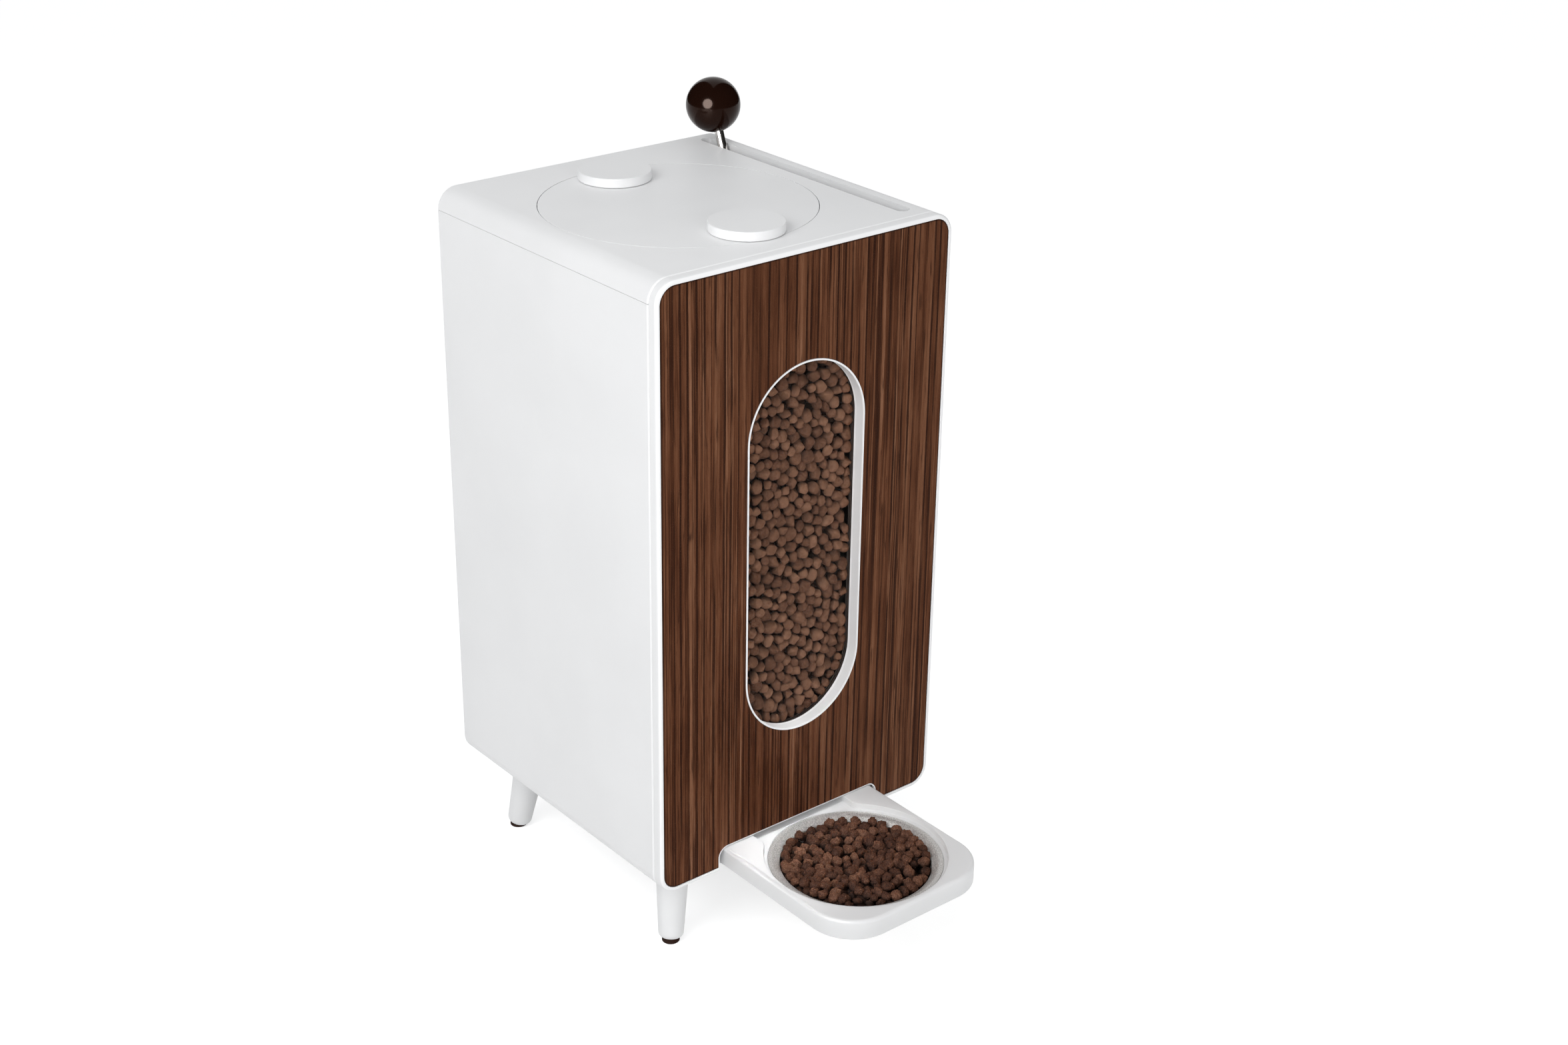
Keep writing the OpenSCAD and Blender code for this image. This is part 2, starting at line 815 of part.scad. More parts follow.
module metering_drum() {
    hub_r = 11;
    pocket_l = drum_l - 5;
    reach = 2 * drum_r;
    color(grey_plastic) in_cabinet() at_drum() rotate([-pocket_lean, 0, 0]) difference() {
        rod_x(-drum_l / 2, drum_l / 2, drum_r);
        along_x(-pocket_l / 2, pocket_l / 2) difference() {
            polygon([[0, 0], reach * [-sin(pocket_angle / 2), cos(pocket_angle / 2)],
                reach * [sin(pocket_angle / 2), cos(pocket_angle / 2)]]);
            circle(hub_r);
        }
        rod_x(-drum_l, drum_l, shaft_r + run_gap);
        // Slot in the end face for the cross pin that drives the drum
        translate([-drum_l / 2 - 1, -drive_pin_r - fit_gap, -drive_pin_l / 2 - fit_gap])
            cube([2 * drive_pin_r + fit_gap + 1, 2 * (drive_pin_r + fit_gap), drive_pin_l + 2 * fit_gap]);
    }
}

module shaft_ring_cuts() {
    for (x = [shaft_left + 2 - 0.2, shaft_right - 2 - 0.2])
        translate([x, 0, 0]) difference() {
            rod_x(0, ring_t + 0.4, shaft_r + 1);
            rod_x(-1, ring_t + 1.4, shaft_r - 0.8);
        }
}

module drum_shaft() {
    color(steel) in_cabinet() at_drum() difference() {
        rod_x(shaft_left, shaft_right, shaft_r);
        shaft_ring_cuts();
        translate([pinion_pin_x, 0, -shaft_d]) cylinder(r = drive_pin_r + run_gap, h = 2 * shaft_d);
        rotate([-pocket_lean, 0, 0]) translate([drum_pin_x, 0, -shaft_d])
            cylinder(r = drive_pin_r + run_gap, h = 2 * shaft_d);
    }
}

module drum_pinion() {
    hub_r = 11;
    color([0.85, 0.84, 0.8]) in_cabinet() at_drum() rotate([gear_ratio * lever_tilt, 0, 0]) difference() {
        union() {
            along_x(sector_x, sector_x + gear_t)
                rotate(-mesh_angle + 180 / pinion_teeth) polygon(gear_points(pinion_teeth));
            rod_x(pinion_hub_x, sector_x + 1, hub_r);
        }
        rod_x(pinion_hub_x - 1, sector_x + gear_t + 1, shaft_r + run_gap);
        translate([pinion_pin_x, 0, 0]) rotate([-gear_ratio * lever_tilt, 0, 0]) translate([0, 0, -2 * hub_r])
            cylinder(r = drive_pin_r + run_gap, h = 4 * hub_r);
    }
}

module drive_pins() {
    color(steel) in_cabinet() at_drum() {
        translate([pinion_pin_x, 0, -drive_pin_l / 2]) cylinder(r = drive_pin_r, h = drive_pin_l);
        rotate([-pocket_lean, 0, 0]) translate([drum_pin_x, 0, -drive_pin_l / 2])
            cylinder(r = drive_pin_r, h = drive_pin_l);
    }
}

module retaining_ring(inner_r, outer_r) {
    difference() {
        rod_x(0, ring_t, outer_r);
        rod_x(-1, ring_t + 1, inner_r);
        translate([-1, -inner_r * 0.7, 0]) cube([ring_t + 2, inner_r * 1.4, outer_r + 1]);
    }
}

module shaft_rings() {
    color(dark) in_cabinet() at_drum()
        for (x = [shaft_left + 2, shaft_right - 2])
            translate([x, 0, 0]) retaining_ring(shaft_r - 0.75, shaft_r + 3);
}

// Stands, pivot and lever

module bush_hole(side) {
    at_drum() rod_x(side * (plate_x + plate_t / 2) - plate_t, side * (plate_x + plate_t / 2) + plate_t,
        bush_r + run_gap);
}

module stand_foot(side) {
    x0 = side > 0 ? plate_x : -plate_x - plate_t - stand_foot_w;
    translate([x0, stand_y0, shell_t]) cube([plate_t + stand_foot_w, stand_y1 - stand_y0, stand_foot_t]);
}

module stand_holes() {
    stand_screw_places() cylinder(r = screw_r + fit_gap, h = shell_t + stand_foot_t + 1);
}

module gear_plate() {
    color(steel) in_cabinet() {
        difference() {
            union() {
                along_x(plate_x, plate_x + plate_t) difference() {
                    translate([stand_y0, shell_t]) square([stand_y1 - stand_y0, stand_top - shell_t]);
                    // Lightening window between the shaft and the pivot
                    translate([drum_y + plate_window_in, drum_z - plate_window_drop])
                        square([stand_y1 - stand_screw_in - drum_y - plate_window_in, plate_window_h]);
                }
                stand_foot(1);
            }
            at_pivot() rod_x(plate_x - 1, plate_x + plate_t + 1, pin_spigot_r + run_gap);
            bush_hole(1);
            stand_holes();
        }
        at_pivot() translate([0, spring_lug_y, -spring_leg + 3])
            rod_x(plate_x + plate_t - 0.5, plate_x + plate_t + 4, spring_post_r);
    }
}

module left_stand() {
    color(steel) in_cabinet() difference() {
        union() {
            along_x(-plate_x - plate_t, -plate_x)
                translate([stand_y0, shell_t]) square([stand_y1 - stand_y0, funnel_top - shell_t]);
            stand_foot(-1);
        }
        funnel(0);
        translate([-plate_x - plate_t - 1, stand_y0 - 1, funnel_top - 0.1])
            cube([plate_t + 2, stand_y1 - stand_y0 + 2, 1]);
        bush_hole(-1);
        stand_holes();
    }
}

module stand_screws() {
    color(steel) in_cabinet() stand_screw_places() {
        translate([0, 0, 0.3]) cylinder(r = screw_r, h = shell_t + stand_foot_t);
        translate([0, 0, shell_t + stand_foot_t]) cylinder(r = 3.6, h = 2.2);
    }
}

module shaft_bush(side) {
    length = plate_t + 3;
    color([0.8, 0.68, 0.42]) in_cabinet() at_drum() mirror([side > 0 ? 0 : 1, 0, 0]) difference() {
        union() {
            rod_x(plate_x + plate_t - length, plate_x + plate_t + 0.1, bush_r);
            rod_x(plate_x + plate_t, plate_x + plate_t + bush_flange_t, bush_flange_r);
        }
        rod_x(plate_x - length, plate_x + 2 * length, shaft_r + run_gap);
    }
}

module pivot_pin() {
    color(steel) in_cabinet() at_pivot() difference() {
        union() {
            rod_x(plate_x + 0.2, plate_x + plate_t + 0.1, pin_spigot_r);
            rod_x(plate_x + plate_t, sector_x - 0.4, pin_shoulder_r);
            rod_x(sector_x - 0.5, pin_end, pin_r);
        }
        translate([pin_ring_x - 0.15, 0, 0]) difference() {
            rod_x(0, ring_t + 0.3, pin_r + 1);
            rod_x(-1, ring_t + 1.3, pin_r - 1);
        }
    }
}

module pivot_ring() {
    color(dark) in_cabinet() at_pivot() translate([pin_ring_x, 0, 0]) retaining_ring(pin_r - 0.95, pin_r + 4);
}

module stop_bumpers() {
    offset = socket_r + bumper_r + 0.3;
    color(dark) in_cabinet() at_pivot()
        for (s = [-1, 1])
            rotate([s * lever_tilt, 0, 0]) translate([0, -s * offset, bumper_at])
                rod_x(plate_x + plate_t, lever_x + 2, bumper_r);
}

// One round wire swept along a path, as rings of points that face along it
function unit(v) = v / norm(v);

function ring_points(p, d, r, sides) =
    let (u = unit(cross(d, abs(d[0]) > 0.9 ? [0, 1, 0] : [1, 0, 0])), v = cross(unit(d), u))
    [for (k = [0 : sides - 1]) p + r * (cos(360 * k / sides) * u + sin(360 * k / sides) * v)];

module wire(path, r, sides) {
    last = len(path) - 1;
    points = [for (i = [0 : last])
        each ring_points(path[i], path[min(i + 1, last)] - path[max(i - 1, 0)], r, sides)];
    sides_faces = [for (i = [0 : last - 1], k = [0 : sides - 1], t = [0, 1])
        let (a = i * sides + k, b = i * sides + (k + 1) % sides)
        t == 0 ? [a, a + sides, b] : [b, a + sides, b + sides]];
    ends = [[for (k = [0 : sides - 1]) k], [for (k = [sides - 1 : -1 : 0]) last * sides + k]];
    polyhedron(points, concat(sides_faces, ends));
}

// Torsion spring: up one leg, round the coil, up the leg that bears on the lever
module return_spring() {
    first_x = plate_x + plate_t + spring_wire / 2 + 0.6;
    steps = 18;
    sweep = 360 * spring_turns + lever_tilt;
    count = ceil(steps * sweep / 360);
    coil = [for (i = [0 : count])
        let (a = 180 - sweep * i / count)
        [first_x + spring_pitch * sweep / 360 * i / count, spring_r * cos(a), spring_r * sin(a)]];
    leg_a = [first_x, -spring_r, -spring_leg];
    leg_b = coil[count] + spring_leg * [0, sin(lever_tilt), cos(lever_tilt)];
    color([0.3, 0.31, 0.33]) in_cabinet() at_pivot() wire(concat([leg_a], coil, [leg_b]), spring_wire / 2, 8);
}

module lever_sector() {
    hub_r = 14;
    root_r = sector_r - 1.25 * gear_m;
    rim_t = 12;
    arc = sector_teeth * sector_pitch / 2;
    color([0.85, 0.84, 0.8]) in_cabinet() on_lever() difference() {
        union() {
            rotate([180 - mesh_angle, 0, 0]) along_x(sector_x, sector_x + gear_t) {
                // Toothed rim on two spokes
                difference() {
                    polygon(concat([polar(root_r - rim_t, -arc)],
                        sector_points(sector_full_teeth, sector_teeth),
                        [polar(root_r - rim_t, arc)]));
                    circle(root_r - rim_t);
                }
                for (s = [-1, 1])
                    polygon([polar(8, s * (arc - 90)), polar(8, s * (arc + 90)),
                        polar(root_r - 1, s * arc), polar(root_r - 1, s * (arc - 5))]);
                circle(hub_r);
            }
            translate([lever_x, 0, 0]) cylinder(r = socket_r, h = socket_l);
            // Lug that the spring bears on
            translate([0, spring_lug_y, spring_leg - 3]) rod_x(sector_x - 3.2, lever_x, spring_post_r);
            translate([sector_x, spring_lug_y, spring_leg - 3 - spring_post_r])
                cube([gear_t / 2, -spring_lug_y, 2 * spring_post_r]);
        }
        rod_x(sector_x - 5, sector_x + gear_t + 6, pin_r + run_gap);
        // Clear of the pivot pin's shoulder and ring
        rod_x(sector_x - 8, sector_x, hub_r + 3);
        rod_x(sector_x + gear_t, sector_x + gear_t + 8, hub_r + 3);
        translate([lever_x, 0, rod_start]) cylinder(r = rod_d / 2 + run_gap, h = socket_l);
    }
}

module lever_rod() {
    color(steel) in_cabinet() on_lever() translate([lever_x, 0, rod_start])
        cylinder(r = rod_d / 2, h = lever_l - rod_start);
}

module lever_ball() {
    color(dark) in_cabinet() on_lever() translate([lever_x, 0, lever_l]) difference() {
        sphere(r = ball_d / 2);
        translate([0, 0, -ball_d]) cylinder(r = rod_d / 2 + run_gap, h = ball_d + 0.1);
    }
}

// Tray runners, tray and bowl

module tray_runner(side) {
    groove_d = tab_w - runner_gap + slide_gap;
    stop_y = tray_tail - tab_l - 0.3;
    color(grey_plastic) in_cabinet() {
        difference() {
            translate([side > 0 ? runner_x : -runner_side, runner_y0, shell_t])
                cube([runner_w, runner_y1 - runner_y0, runner_h]);
            translate([side > 0 ? runner_x - 1 : -runner_x - groove_d, stop_y, tab_z - slide_gap])
                cube([groove_d + 1, runner_stop_y - stop_y, tab_h + 2 * slide_gap]);
        }
        runner_peg_places(side) translate([0, 0, 0.3]) cylinder(r = peg_r, h = shell_t);
    }
}

// Round keyhole outline: the bowl ring and the channel, with soft inner corners
module keyhole(grow) {
    r = recess_r + grow;
    half = channel_w / 2 + grow;
    blend = neck_r - grow;
    rise = sqrt(pow(r + blend, 2) - pow(half + blend, 2));
    touch = r / (r + blend);
    circle(r);
    translate([-half, 0]) square([2 * half, tray_reach + tray_tail]);
    for (s = [-1, 1])
        difference() {
            polygon([[0, 0], [s * (half + blend) * touch, rise * touch],
                [s * (half + blend), rise], [0, rise]]);
            translate([s * (half + blend), rise]) circle(blend);
        }
}

module bowl_tray() {
    length = tray_reach + tray_tail;
    color(white) in_cabinet() {
        difference() {
            translate([0, -tray_reach, tray_z]) intersection() {
                soft_slab(tray_w, length + tray_corner_r + 10, tray_t, tray_corner_r, tray_round);
                translate([-tray_w, -1, -1]) cube([2 * tray_w, length + 1, tray_t + 2]);
            }
            // Keyhole recess and the hole that the bowl hangs in
            translate([0, bowl_y, recess_z]) linear_extrude(recess_depth + 1) keyhole(0);
            translate([0, bowl_y, recess_z - seat_drop]) cylinder(r = bowl_d / 2 + slide_gap, h = tray_t);
            translate([0, bowl_y, 0]) cylinder(r = bowl_d / 2 - seat_w, h = tray_t);
            // Hollow underside
            translate([0, -tray_reach + tray_wall, tray_z - 1]) intersection() {
                linear_extrude(recess_z - deck_t - seat_drop - tray_z + 1)
                    rounded_rect(tray_w - 2 * tray_wall, length + tray_corner_r, tray_corner_r - tray_wall);
                translate([-tray_w, 0, 0]) cube([2 * tray_w, length - 2 * tray_wall, tray_t]);
            }
        }
        for (s = [-1, 1])
            translate([s * (tray_w / 2 + tab_w / 2 - 0.5) - tab_w / 2 - 0.5 * s, tray_tail - tab_l, tab_z])
                cube([tab_w, tab_l, tab_h]);
    }
}

module bowl() {
    rim_r = bowl_d / 2;
    depth = bowl_depth - bowl_t;
    wall_r = hang_r;
    color(steel) in_cabinet() translate([0, bowl_y, recess_z - seat_drop]) rotate_extrude() {
        // Flat rim, sloped flange, upright wall with a round corner, flat base
        polygon([[rim_r - 3.5, 0], [rim_r, 0], [rim_r, bowl_t], [rim_r - 3.5, bowl_t],
            [wall_r - bowl_t, bowl_t - flange_drop], [wall_r - bowl_t, -depth + bowl_corner_r],
            [wall_r, -depth + bowl_corner_r], [wall_r, -flange_drop]]);
        translate([0, -depth]) square([wall_r - bowl_corner_r, bowl_t]);
        translate([wall_r - bowl_corner_r, -depth + bowl_corner_r]) intersection() {
            difference() {
                circle(bowl_corner_r);
                circle(bowl_corner_r - bowl_t);
            }
            translate([0, -bowl_corner_r]) square(bowl_corner_r);
        }
    }
}

// Lid

module knob_places() {
    for (s = [-1, 1])
        translate([0, s * knob_y, 0]) children();
}

module lid_plate() {
    color(white) in_cabinet() at_lid(cabinet_h - lid_t) difference() {
        union() {
            cylinder(r = lid_r, h = lid_t);
            translate([0, 0, -plug_h]) cylinder(r = plug_r, h = plug_h + 1);
        }
        translate([0, 0, -plug_h - 1]) cylinder(r = plug_r - plug_t, h = plug_h + 1);
        // Groove for the seal
        translate([0, 0, -plug_h + 4]) difference() {
            cylinder(r = plug_r + 1, h = seal_h);
            cylinder(r = plug_r - 1.5, h = 3 * seal_h, center = true);
        }
        knob_places() translate([0, 0, -1]) cylinder(r = knob_screw_r + fit_gap, h = lid_t + 2);
    }
}

module lid_seal() {
    color(grey_plastic) in_cabinet() at_lid(cabinet_h - lid_t - plug_h + 4 + 0.1) difference() {
        cylinder(r = mouth_r - 0.3, h = seal_h - 0.2);
        translate([0, 0, -1]) cylinder(r = plug_r - 1.5 + run_gap, h = seal_h + 2);
    }
}

module lid_knob(s) {
    soft = 1.2;
    color(white) in_cabinet() at_lid(cabinet_h) translate([0, s * knob_y, 0]) difference() {
        rotate_extrude() {
            square([knob_neck_d / 2, knob_neck_h + 1]);
            translate([0, knob_neck_h]) square([knob_d / 2 - soft, knob_t]);
            translate([0, knob_neck_h + soft]) square([knob_d / 2, knob_t - 2 * soft]);
            for (z = [soft, knob_t - soft])
                translate([knob_d / 2 - soft, knob_neck_h + z]) circle(soft, $fn = 32);
        }
        translate([0, 0, -1]) cylinder(r = knob_screw_r + thread_gap, h = knob_neck_h + knob_t - 2);
    }
}

module lid_knob_screws() {
    color(steel) in_cabinet() at_lid(cabinet_h - lid_t) knob_places() {
        translate([0, 0, -knob_head_t]) cylinder(r = knob_head_r, h = knob_head_t);
        translate([0, 0, -0.1])
            cylinder(r = knob_screw_r, h = lid_t + knob_neck_h + knob_t - knob_screw_end);
    }
}

// Legs

module leg(side, end) {
    end_z = -leg_axis_l + pad_h;
    foot_r = leg_foot_d / 2;
    color(white) in_cabinet() difference() {
        // Straight taper to a rounded end
        on_leg(side, end) rotate_extrude() polygon(concat(
            [[0, leg_round], [leg_top_d / 2, leg_round], [leg_top_d / 2, 0]],
            [for (a = [0 : 15 : 90]) [foot_r, end_z] + leg_round * [cos(a) - 1, 1 - sin(a)]],
            [[0, end_z]]));
        // Cut flush with the cabinet's underside
        translate([side > 0 ? 0 : -half_w, 0, 0]) cube([half_w, cabinet_d, leg_top_d]);
        on_leg(side, end) translate([0, 0, end_z - 1])
            cylinder(r = spigot_r + thread_gap, h = spigot_h + 1.5);
        on_leg(side, end) translate([0, 0, -stud_in - 1])
            cylinder(r = stud_r + thread_gap, h = 2 * stud_in);
    }
}

// The pad carries on along the leg's axis and is cut flat at the floor
module foot_pad(side, end) {
    color(dark) in_cabinet() difference() {
        on_leg(side, end) translate([0, 0, -leg_axis_l]) {
            translate([0, 0, -pad_h]) cylinder(r = pad_d / 2, h = 2 * pad_h);
            cylinder(r = spigot_r, h = pad_h + spigot_h);
        }
        translate([side > 0 ? 0 : -half_w, 0, -leg_h - 3 * pad_h]) cube([half_w, cabinet_d, 3 * pad_h]);
    }
}

module leg_plates() {
    color(steel) in_cabinet() intersection() {
        difference() {
            for (side = [-1, 1], end = [0, 1])
                translate([side * (leg_x + leg_plate_shift), leg_y[end], shell_t])
                    linear_extrude(leg_plate_t) square(leg_plate_w, center = true);
            leg_bolt_holes(stud_r + thread_gap);
        }
        // Plates near the shell's round corner are cut to it
        along_y(0, cabinet_d) body_outline(shell_t);
    }
}

module leg_studs() {
    color(steel) in_cabinet()
        for (side = [-1, 1], end = [0, 1])
            on_leg(side, end) translate([0, 0, -stud_in]) cylinder(r = stud_r, h = stud_in + stud_out);
}

side_shell();
top_cover();
lid_ring();
slot_liner();
rear_panel();
rear_panel_screws();
front_bezel();
notch_trim();
walnut_panel();
window_frame();
window_pane();
window_gasket();
hopper_front_wall();
hopper_walls();
hopper_chute();
drum_housing();
housing_screws();
gear_plate();
left_stand();
stand_screws();
pivot_pin();
pivot_ring();
return_spring();
stop_bumpers();
shaft_bush(-1);  // shaft_bush_left
shaft_bush(1);  // shaft_bush_right
tray_runner(-1);  // tray_runner_left
tray_runner(1);  // tray_runner_right
leg_plates();
leg_studs();
leg(-1, 0);  // leg_front_left
leg(1, 0);  // leg_front_right
leg(-1, 1);  // leg_rear_left
leg(1, 1);  // leg_rear_right
foot_pad(-1, 0);  // foot_pad_front_left
foot_pad(1, 0);  // foot_pad_front_right
foot_pad(-1, 1);  // foot_pad_rear_left
foot_pad(1, 1);  // foot_pad_rear_right
lever_sector();
lever_rod();
lever_ball();
metering_drum();
drum_shaft();
drum_pinion();
drive_pins();
shaft_rings();
bowl_tray();
bowl();
lid_plate();
lid_seal();
lid_knob(-1);  // lid_knob_front
lid_knob(1);  // lid_knob_rear
lid_knob_screws();
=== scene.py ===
"""Looks of the dog food storage station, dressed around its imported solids."""
import json
import math

import bmesh
import bpy
import numpy as np
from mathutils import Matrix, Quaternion, Vector, noise


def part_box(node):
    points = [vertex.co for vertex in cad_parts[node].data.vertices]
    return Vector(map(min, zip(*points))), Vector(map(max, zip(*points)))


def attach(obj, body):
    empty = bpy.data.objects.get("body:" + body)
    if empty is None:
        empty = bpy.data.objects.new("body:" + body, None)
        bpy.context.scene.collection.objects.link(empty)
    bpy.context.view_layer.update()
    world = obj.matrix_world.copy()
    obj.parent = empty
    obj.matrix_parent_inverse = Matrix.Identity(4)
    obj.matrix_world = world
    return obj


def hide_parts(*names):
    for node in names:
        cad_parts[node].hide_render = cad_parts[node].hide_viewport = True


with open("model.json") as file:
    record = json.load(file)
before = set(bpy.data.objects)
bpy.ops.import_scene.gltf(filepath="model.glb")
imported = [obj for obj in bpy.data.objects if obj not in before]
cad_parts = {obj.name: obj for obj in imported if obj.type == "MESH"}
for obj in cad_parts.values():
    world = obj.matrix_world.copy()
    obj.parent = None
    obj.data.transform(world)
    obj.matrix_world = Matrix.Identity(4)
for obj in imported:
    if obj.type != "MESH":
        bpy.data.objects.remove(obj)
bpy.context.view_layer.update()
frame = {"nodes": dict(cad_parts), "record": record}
nodes = frame["nodes"]

MM = 0.001
TINY = 1e-6
FRONT_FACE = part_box("front_bezel")[0].y
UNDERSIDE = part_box("side_shell")[0].z
LEG_PLACES = {"front_left": (-1, -1), "front_right": (1, -1), "rear_left": (-1, 1), "rear_right": (1, 1)}


def cab(x, y, z):
    """A point of the cabinet, in mm from the middle of its front face's lower edge, in the row frame."""
    return Vector((x * MM, FRONT_FACE + y * MM, UNDERSIDE + z * MM))


def link(name, data):
    """A new object in the scene."""
    made = bpy.data.objects.new(name, data)
    bpy.context.scene.collection.objects.link(made)
    return made


def add_piece(name, mesh, finish, body):
    """A new piece in one finish, which moves with a body of the part."""
    mesh.materials.append(finish)
    piece = link(name, mesh)
    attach(piece, body)
    return piece


# Shader sums

class Wire:
    """A socket of a finish that takes part in sums; each sum adds a Math node."""

    def __init__(self, finish, socket):
        self.finish = finish
        self.socket = socket

    def _sum(self, operation, a, b=0.0):
        return self.finish.node("ShaderNodeMath", {"operation": operation}, {0: a, 1: b})

    def __add__(self, other):
        return self._sum("ADD", self, other)

    __radd__ = __add__

    def __sub__(self, other):
        return self._sum("SUBTRACT", self, other)

    def __rsub__(self, other):
        return self._sum("SUBTRACT", other, self)

    def __mul__(self, other):
        return self._sum("MULTIPLY", self, other)

    __rmul__ = __mul__

    def __truediv__(self, other):
        return self._sum("DIVIDE", self, other)

    def __rtruediv__(self, other):
        return self._sum("DIVIDE", other, self)

    def __pow__(self, other):
        return self._sum("POWER", self, other)

    def __rpow__(self, other):
        return self._sum("POWER", other, self)

    def __abs__(self):
        return self._sum("ABSOLUTE", self)

    def at_least(self, other):
        return self._sum("MAXIMUM", self, other)

    def at_most(self, other):
        return self._sum("MINIMUM", self, other)

    def rise(self, low, high):
        """0 below low, 1 above high, and a soft step between them."""
        sockets = {"Value": self, "From Min": low, "From Max": high}
        return self.finish.node("ShaderNodeMapRange", {"interpolation_type": "SMOOTHSTEP"}, sockets)


class Finish:
    """The nodes of one material, or of the world."""

    def __init__(self, owner):
        self.owner = owner
        owner.use_nodes = True
        self.tree = owner.node_tree
        self.tree.nodes.clear()

    def node(self, kind, settings=None, sockets=None, out=0):
        """Adds a node: its settings first, then the values or links of its sockets."""
        made = self.tree.nodes.new(kind)
        for key, value in (settings or {}).items():
            if key == "stops":
                while len(made.color_ramp.elements) < len(value):
                    made.color_ramp.elements.new(1.0)
                for stop, (at, colour) in zip(made.color_ramp.elements, value):
                    stop.position = at
                    stop.color = (*colour, 1.0)
            else:
                setattr(made, key, value)
        for key, value in (sockets or {}).items():
            socket = made.inputs[key]
            if isinstance(value, Wire):
                self.tree.links.new(value.socket, socket)
            elif socket.type == "RGBA":
                socket.default_value = (*value, 1.0)
            else:
                socket.default_value = value
        return Wire(self, made.outputs[out]) if made.outputs else None

    def place(self):
        """Where a point is on the object, in metres of the row frame."""
        return self.node("ShaderNodeTexCoord", out="Object")

    def stretch(self, vector, scale, shift=(0.0, 0.0, 0.0)):
        """A vector times a scale along each axis, plus a shift."""
        sockets = {0: vector, 1: scale, 2: shift}
        return self.node("ShaderNodeVectorMath", {"operation": "MULTIPLY_ADD"}, sockets)

    def part(self, vector, axis):
        """One of a vector's three numbers."""
        return self.node("ShaderNodeSeparateXYZ", {}, {0: vector}, out=axis)

    def inset(self, vector, low, high, corner):
        """How far a point of an upright panel lies inside its round-cornered outline."""
        middle, half = (low + high) / 2, (high - low) / 2
        out_x = abs(self.part(vector, "X") - middle.x) - (half.x - corner)
        out_z = abs(self.part(vector, "Z") - middle.z) - (half.z - corner)
        arc = (out_x.at_least(0.0) ** 2.0 + out_z.at_least(0.0) ** 2.0) ** 0.5
        return corner - arc - out_x.at_least(out_z).at_most(0.0)

    def cloud(self, vector, scale=1.0, detail=2.0, rough=0.5):
        """Soft noise from 0 to 1, with so many lumps to the metre."""
        sockets = {"Vector": vector, "Scale": scale, "Detail": detail, "Roughness": rough}
        return self.node("ShaderNodeTexNoise", {}, sockets)

    def blend(self, a, b, factor):
        """Colour a where the factor is 0 and colour b where it is 1."""
        return self.node("ShaderNodeMix", {"data_type": "RGBA"}, {0: factor, 6: a, 7: b}, out=2)

    def ramp(self, factor, stops):
        """The colour that a row of stops gives to a value."""
        return self.node("ShaderNodeValToRGB", {"stops": stops}, {"Fac": factor})

    def bump(self, height, strength, distance):
        """A normal that follows a height from 0 to 1, with the distance of a full height."""
        sockets = {"Height": height, "Strength": strength, "Distance": distance}
        return self.node("ShaderNodeBump", {}, sockets)

    def principled(self, **sockets):
        """The main shader, with each socket's name in words joined by underscores."""
        named = {key.replace("_", " "): value for key, value in sockets.items()}
        return self.node("ShaderNodeBsdfPrincipled", {}, named)

    def surface(self, shader, kind="ShaderNodeOutputMaterial"):
        """Ends the nodes with their output, and hands over the material."""
        self.node(kind, {}, {"Surface": shader})
        return self.owner


def blank(name):
    """A new material without nodes."""
    return Finish(bpy.data.materials.new(name))


def toned(colour, share):
    """A colour made darker or paler."""
    return tuple(share * c for c in colour)


# Finishes

def white_moulding(name, colour, roughness, pebble, glow=0.0, highlight_bands=()):
    """Satin white moulding: a faint flow of tone, a fine spark texture, specks, and light carried inside.

    Highlight bands lie behind the front face, in mm; there the moulding is painted paler, a painted
    highlight along the front rim and the seam's rounded edge."""
    f = blank(name)
    place = f.place()
    flow = f.cloud(place, 7.0, 3.0)
    texture = f.cloud(place, 1900.0, 2.0, 0.6)
    speck = f.cloud(place, 620.0, 1.0).rise(0.74, 0.8)
    tone = f.blend(toned(colour, 0.965), colour, flow.rise(0.3, 0.7))
    tone = f.blend(tone, toned(colour, 0.9), 0.25 * speck)
    # Painted highlight: the front rim and the seam's edge are painted paler than the rest of the moulding.
    for near, far in highlight_bands:
        depth = (f.part(place, "Y") - FRONT_FACE) / MM
        highlight_band = depth.rise(near - 0.3, near) * depth.rise(far, far - 0.5)
        tone = f.blend(tone, toned(colour, 1.12), highlight_band)
    rough = roughness - 0.05 + 0.1 * f.cloud(place, 38.0, 3.0)
    normal = f.bump(texture, 0.12 * pebble, 0.12 * MM)
    shader = f.principled(Base_Color=tone, Roughness=rough, Normal=normal, IOR=1.4,
                          Subsurface_Weight=glow, Subsurface_Radius=(1.0, 0.97, 0.94),
                          Subsurface_Scale=12 * MM)
    return f.surface(shader)


WALNUT_CORNER = 15.5 * MM
WALNUT_TONES = (
    (0.12, (0.038, 0.0113, 0.0046)),
    (0.32, (0.082, 0.0278, 0.012)),
    (0.5, (0.13, 0.0487, 0.0228)),
    (0.68, (0.181, 0.0755, 0.0378)),
    (0.9, (0.258, 0.121, 0.067)),
)
DARK_LINE = (0.024, 0.0072, 0.0031)
FINE_LINE = (0.032, 0.0104, 0.0046)
DARK_DASH = (0.03, 0.0096, 0.0042)
OPEN_PORE = (0.034, 0.0115, 0.0052)
PALE_DOT = (0.24, 0.124, 0.078)
DARK_DOT = (0.03, 0.0098, 0.0044)
DARK_FLECK = (0.017, 0.0058, 0.0034)
# Colour of the painted shade along the panel's border.
PAINTED_EDGE_SHADE = (0.016, 0.005, 0.0026)


